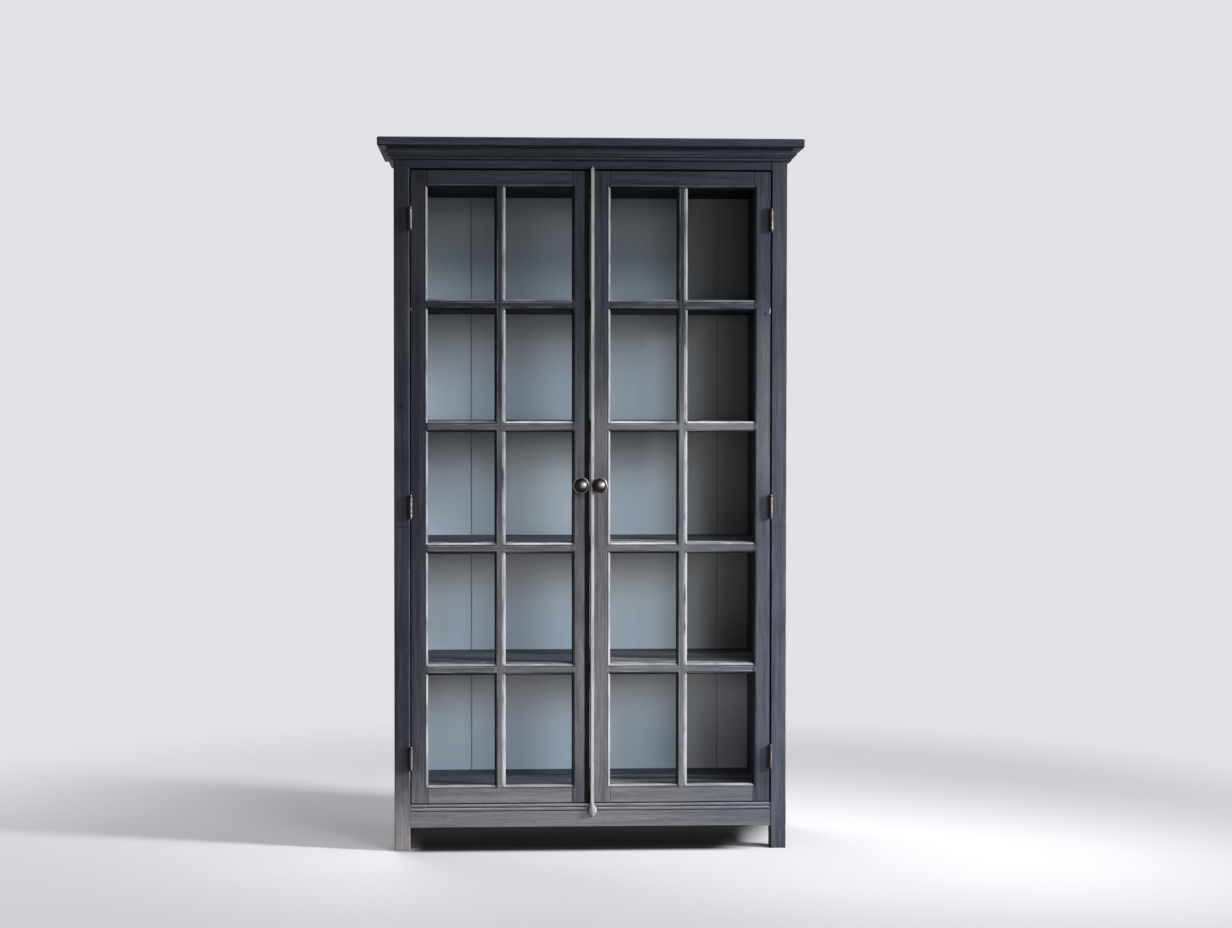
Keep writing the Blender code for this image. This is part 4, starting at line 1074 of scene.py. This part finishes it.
# World: dim even light from all round, and a plain pale background that the camera, metal and
# glass see.
BACKGROUND_COLOUR = (0.76, 0.76, 0.80)
AMBIENT_COLOUR = (0.92, 0.95, 1.00)
AMBIENT_LEVEL = 0.07
world = bpy.data.worlds.new("studio")
world.use_nodes = True
bpy.context.scene.world = world
sky = world.node_tree
ambient = sky.nodes["Background"]
ambient.inputs["Color"].default_value = (*AMBIENT_COLOUR, 1.0)
ambient.inputs["Strength"].default_value = AMBIENT_LEVEL
backdrop = sky.nodes.new("ShaderNodeBackground")
backdrop.inputs["Color"].default_value = (*BACKGROUND_COLOUR, 1.0)
rays = sky.nodes.new("ShaderNodeLightPath")
seen = rays.outputs["Is Camera Ray"]
for kind in ("Is Glossy Ray", "Is Transmission Ray"):
    either = sky.nodes.new("ShaderNodeMath")
    either.operation = "MAXIMUM"
    sky.links.new(seen, either.inputs[0])
    sky.links.new(rays.outputs[kind], either.inputs[1])
    seen = either.outputs[0]
chosen = sky.nodes.new("ShaderNodeMixShader")
sky.links.new(seen, chosen.inputs[0])
sky.links.new(ambient.outputs[0], chosen.inputs[1])
sky.links.new(backdrop.outputs[0], chosen.inputs[2])
sky.links.new(chosen.outputs[0], sky.nodes["World Output"].inputs["Surface"])


# Lamps: a soft box on the right rakes across the front, a wide one nearer the camera lights the
# inside with a weak one beside the camera, and a large one high behind on the left lights the
# back. Grids keep the two on the right low.
def soft_box(
    name, azimuth, elevation, distance, size, level, target, spread=None, colour=(1, 1, 1)
):
    """An area lamp aimed at target; at level 1 a white card there that faces it renders as white.

    azimuth runs from the front towards the right and elevation up from level, in degrees.
    spread is the angle in degrees of a grid that narrows the beam.
    """
    lamp = bpy.data.lights.new(name, "AREA")
    lamp.shape = "RECTANGLE"
    lamp.size, lamp.size_y = size
    lamp.color = colour
    gain = 1.0
    if spread:
        lamp.spread = radians(spread)
        half = radians(spread / 2)
        gain = tan(half) / (tan(half) - half)
    lamp.energy = level * pi * pi * distance ** 2 / gain
    holder = bpy.data.objects.new(name, lamp)
    bpy.context.scene.collection.objects.link(holder)
    flat = cos(radians(elevation))
    towards = Vector((
        sin(radians(azimuth)) * flat,
        -cos(radians(azimuth)) * flat,
        sin(radians(elevation)),
    ))
    holder.location = Vector(target) + towards * distance
    holder.rotation_euler = towards.to_track_quat("Z", "Y").to_euler()
    holder.visible_camera = False


soft_box(
    "raking_box", azimuth=70, elevation=22, distance=4.2, size=(0.6, 0.6), level=2.4,
    target=(0.25, -0.17, 0.55), spread=56,
)
soft_box(
    "window_box", azimuth=34, elevation=14, distance=4.6, size=(2.6, 1.6), level=1.05,
    target=(0.0, -0.17, 0.50), spread=52, colour=(0.90, 0.95, 1.0),
)
soft_box(
    "fill_box", azimuth=4, elevation=4, distance=5.0, size=(1.8, 1.2), level=0.045,
    target=(0.0, -0.17, 0.75),
)
soft_box(
    "rear_box", azimuth=-150, elevation=55, distance=5.0, size=(2.4, 2.0), level=0.5,
    target=(0.0, 0.0, 0.95),
)


# Camera: at the photograph's place, 6.4 m in front, a little left of the middle and 1.2 m above
# the floor.
camera_data = bpy.data.cameras.new("camera")
camera_data.sensor_width = 36.0
camera_data.lens = 68.28
camera = bpy.data.objects.new("camera", camera_data)
bpy.context.scene.collection.objects.link(camera)
camera.location = (-0.2473, -6.4089, 1.1966)
camera.rotation_euler = Euler((pi / 2 - 0.02586, -0.00079, -0.05024))
bpy.context.scene.camera = camera
bpy.context.scene.view_settings.view_transform = "Standard"
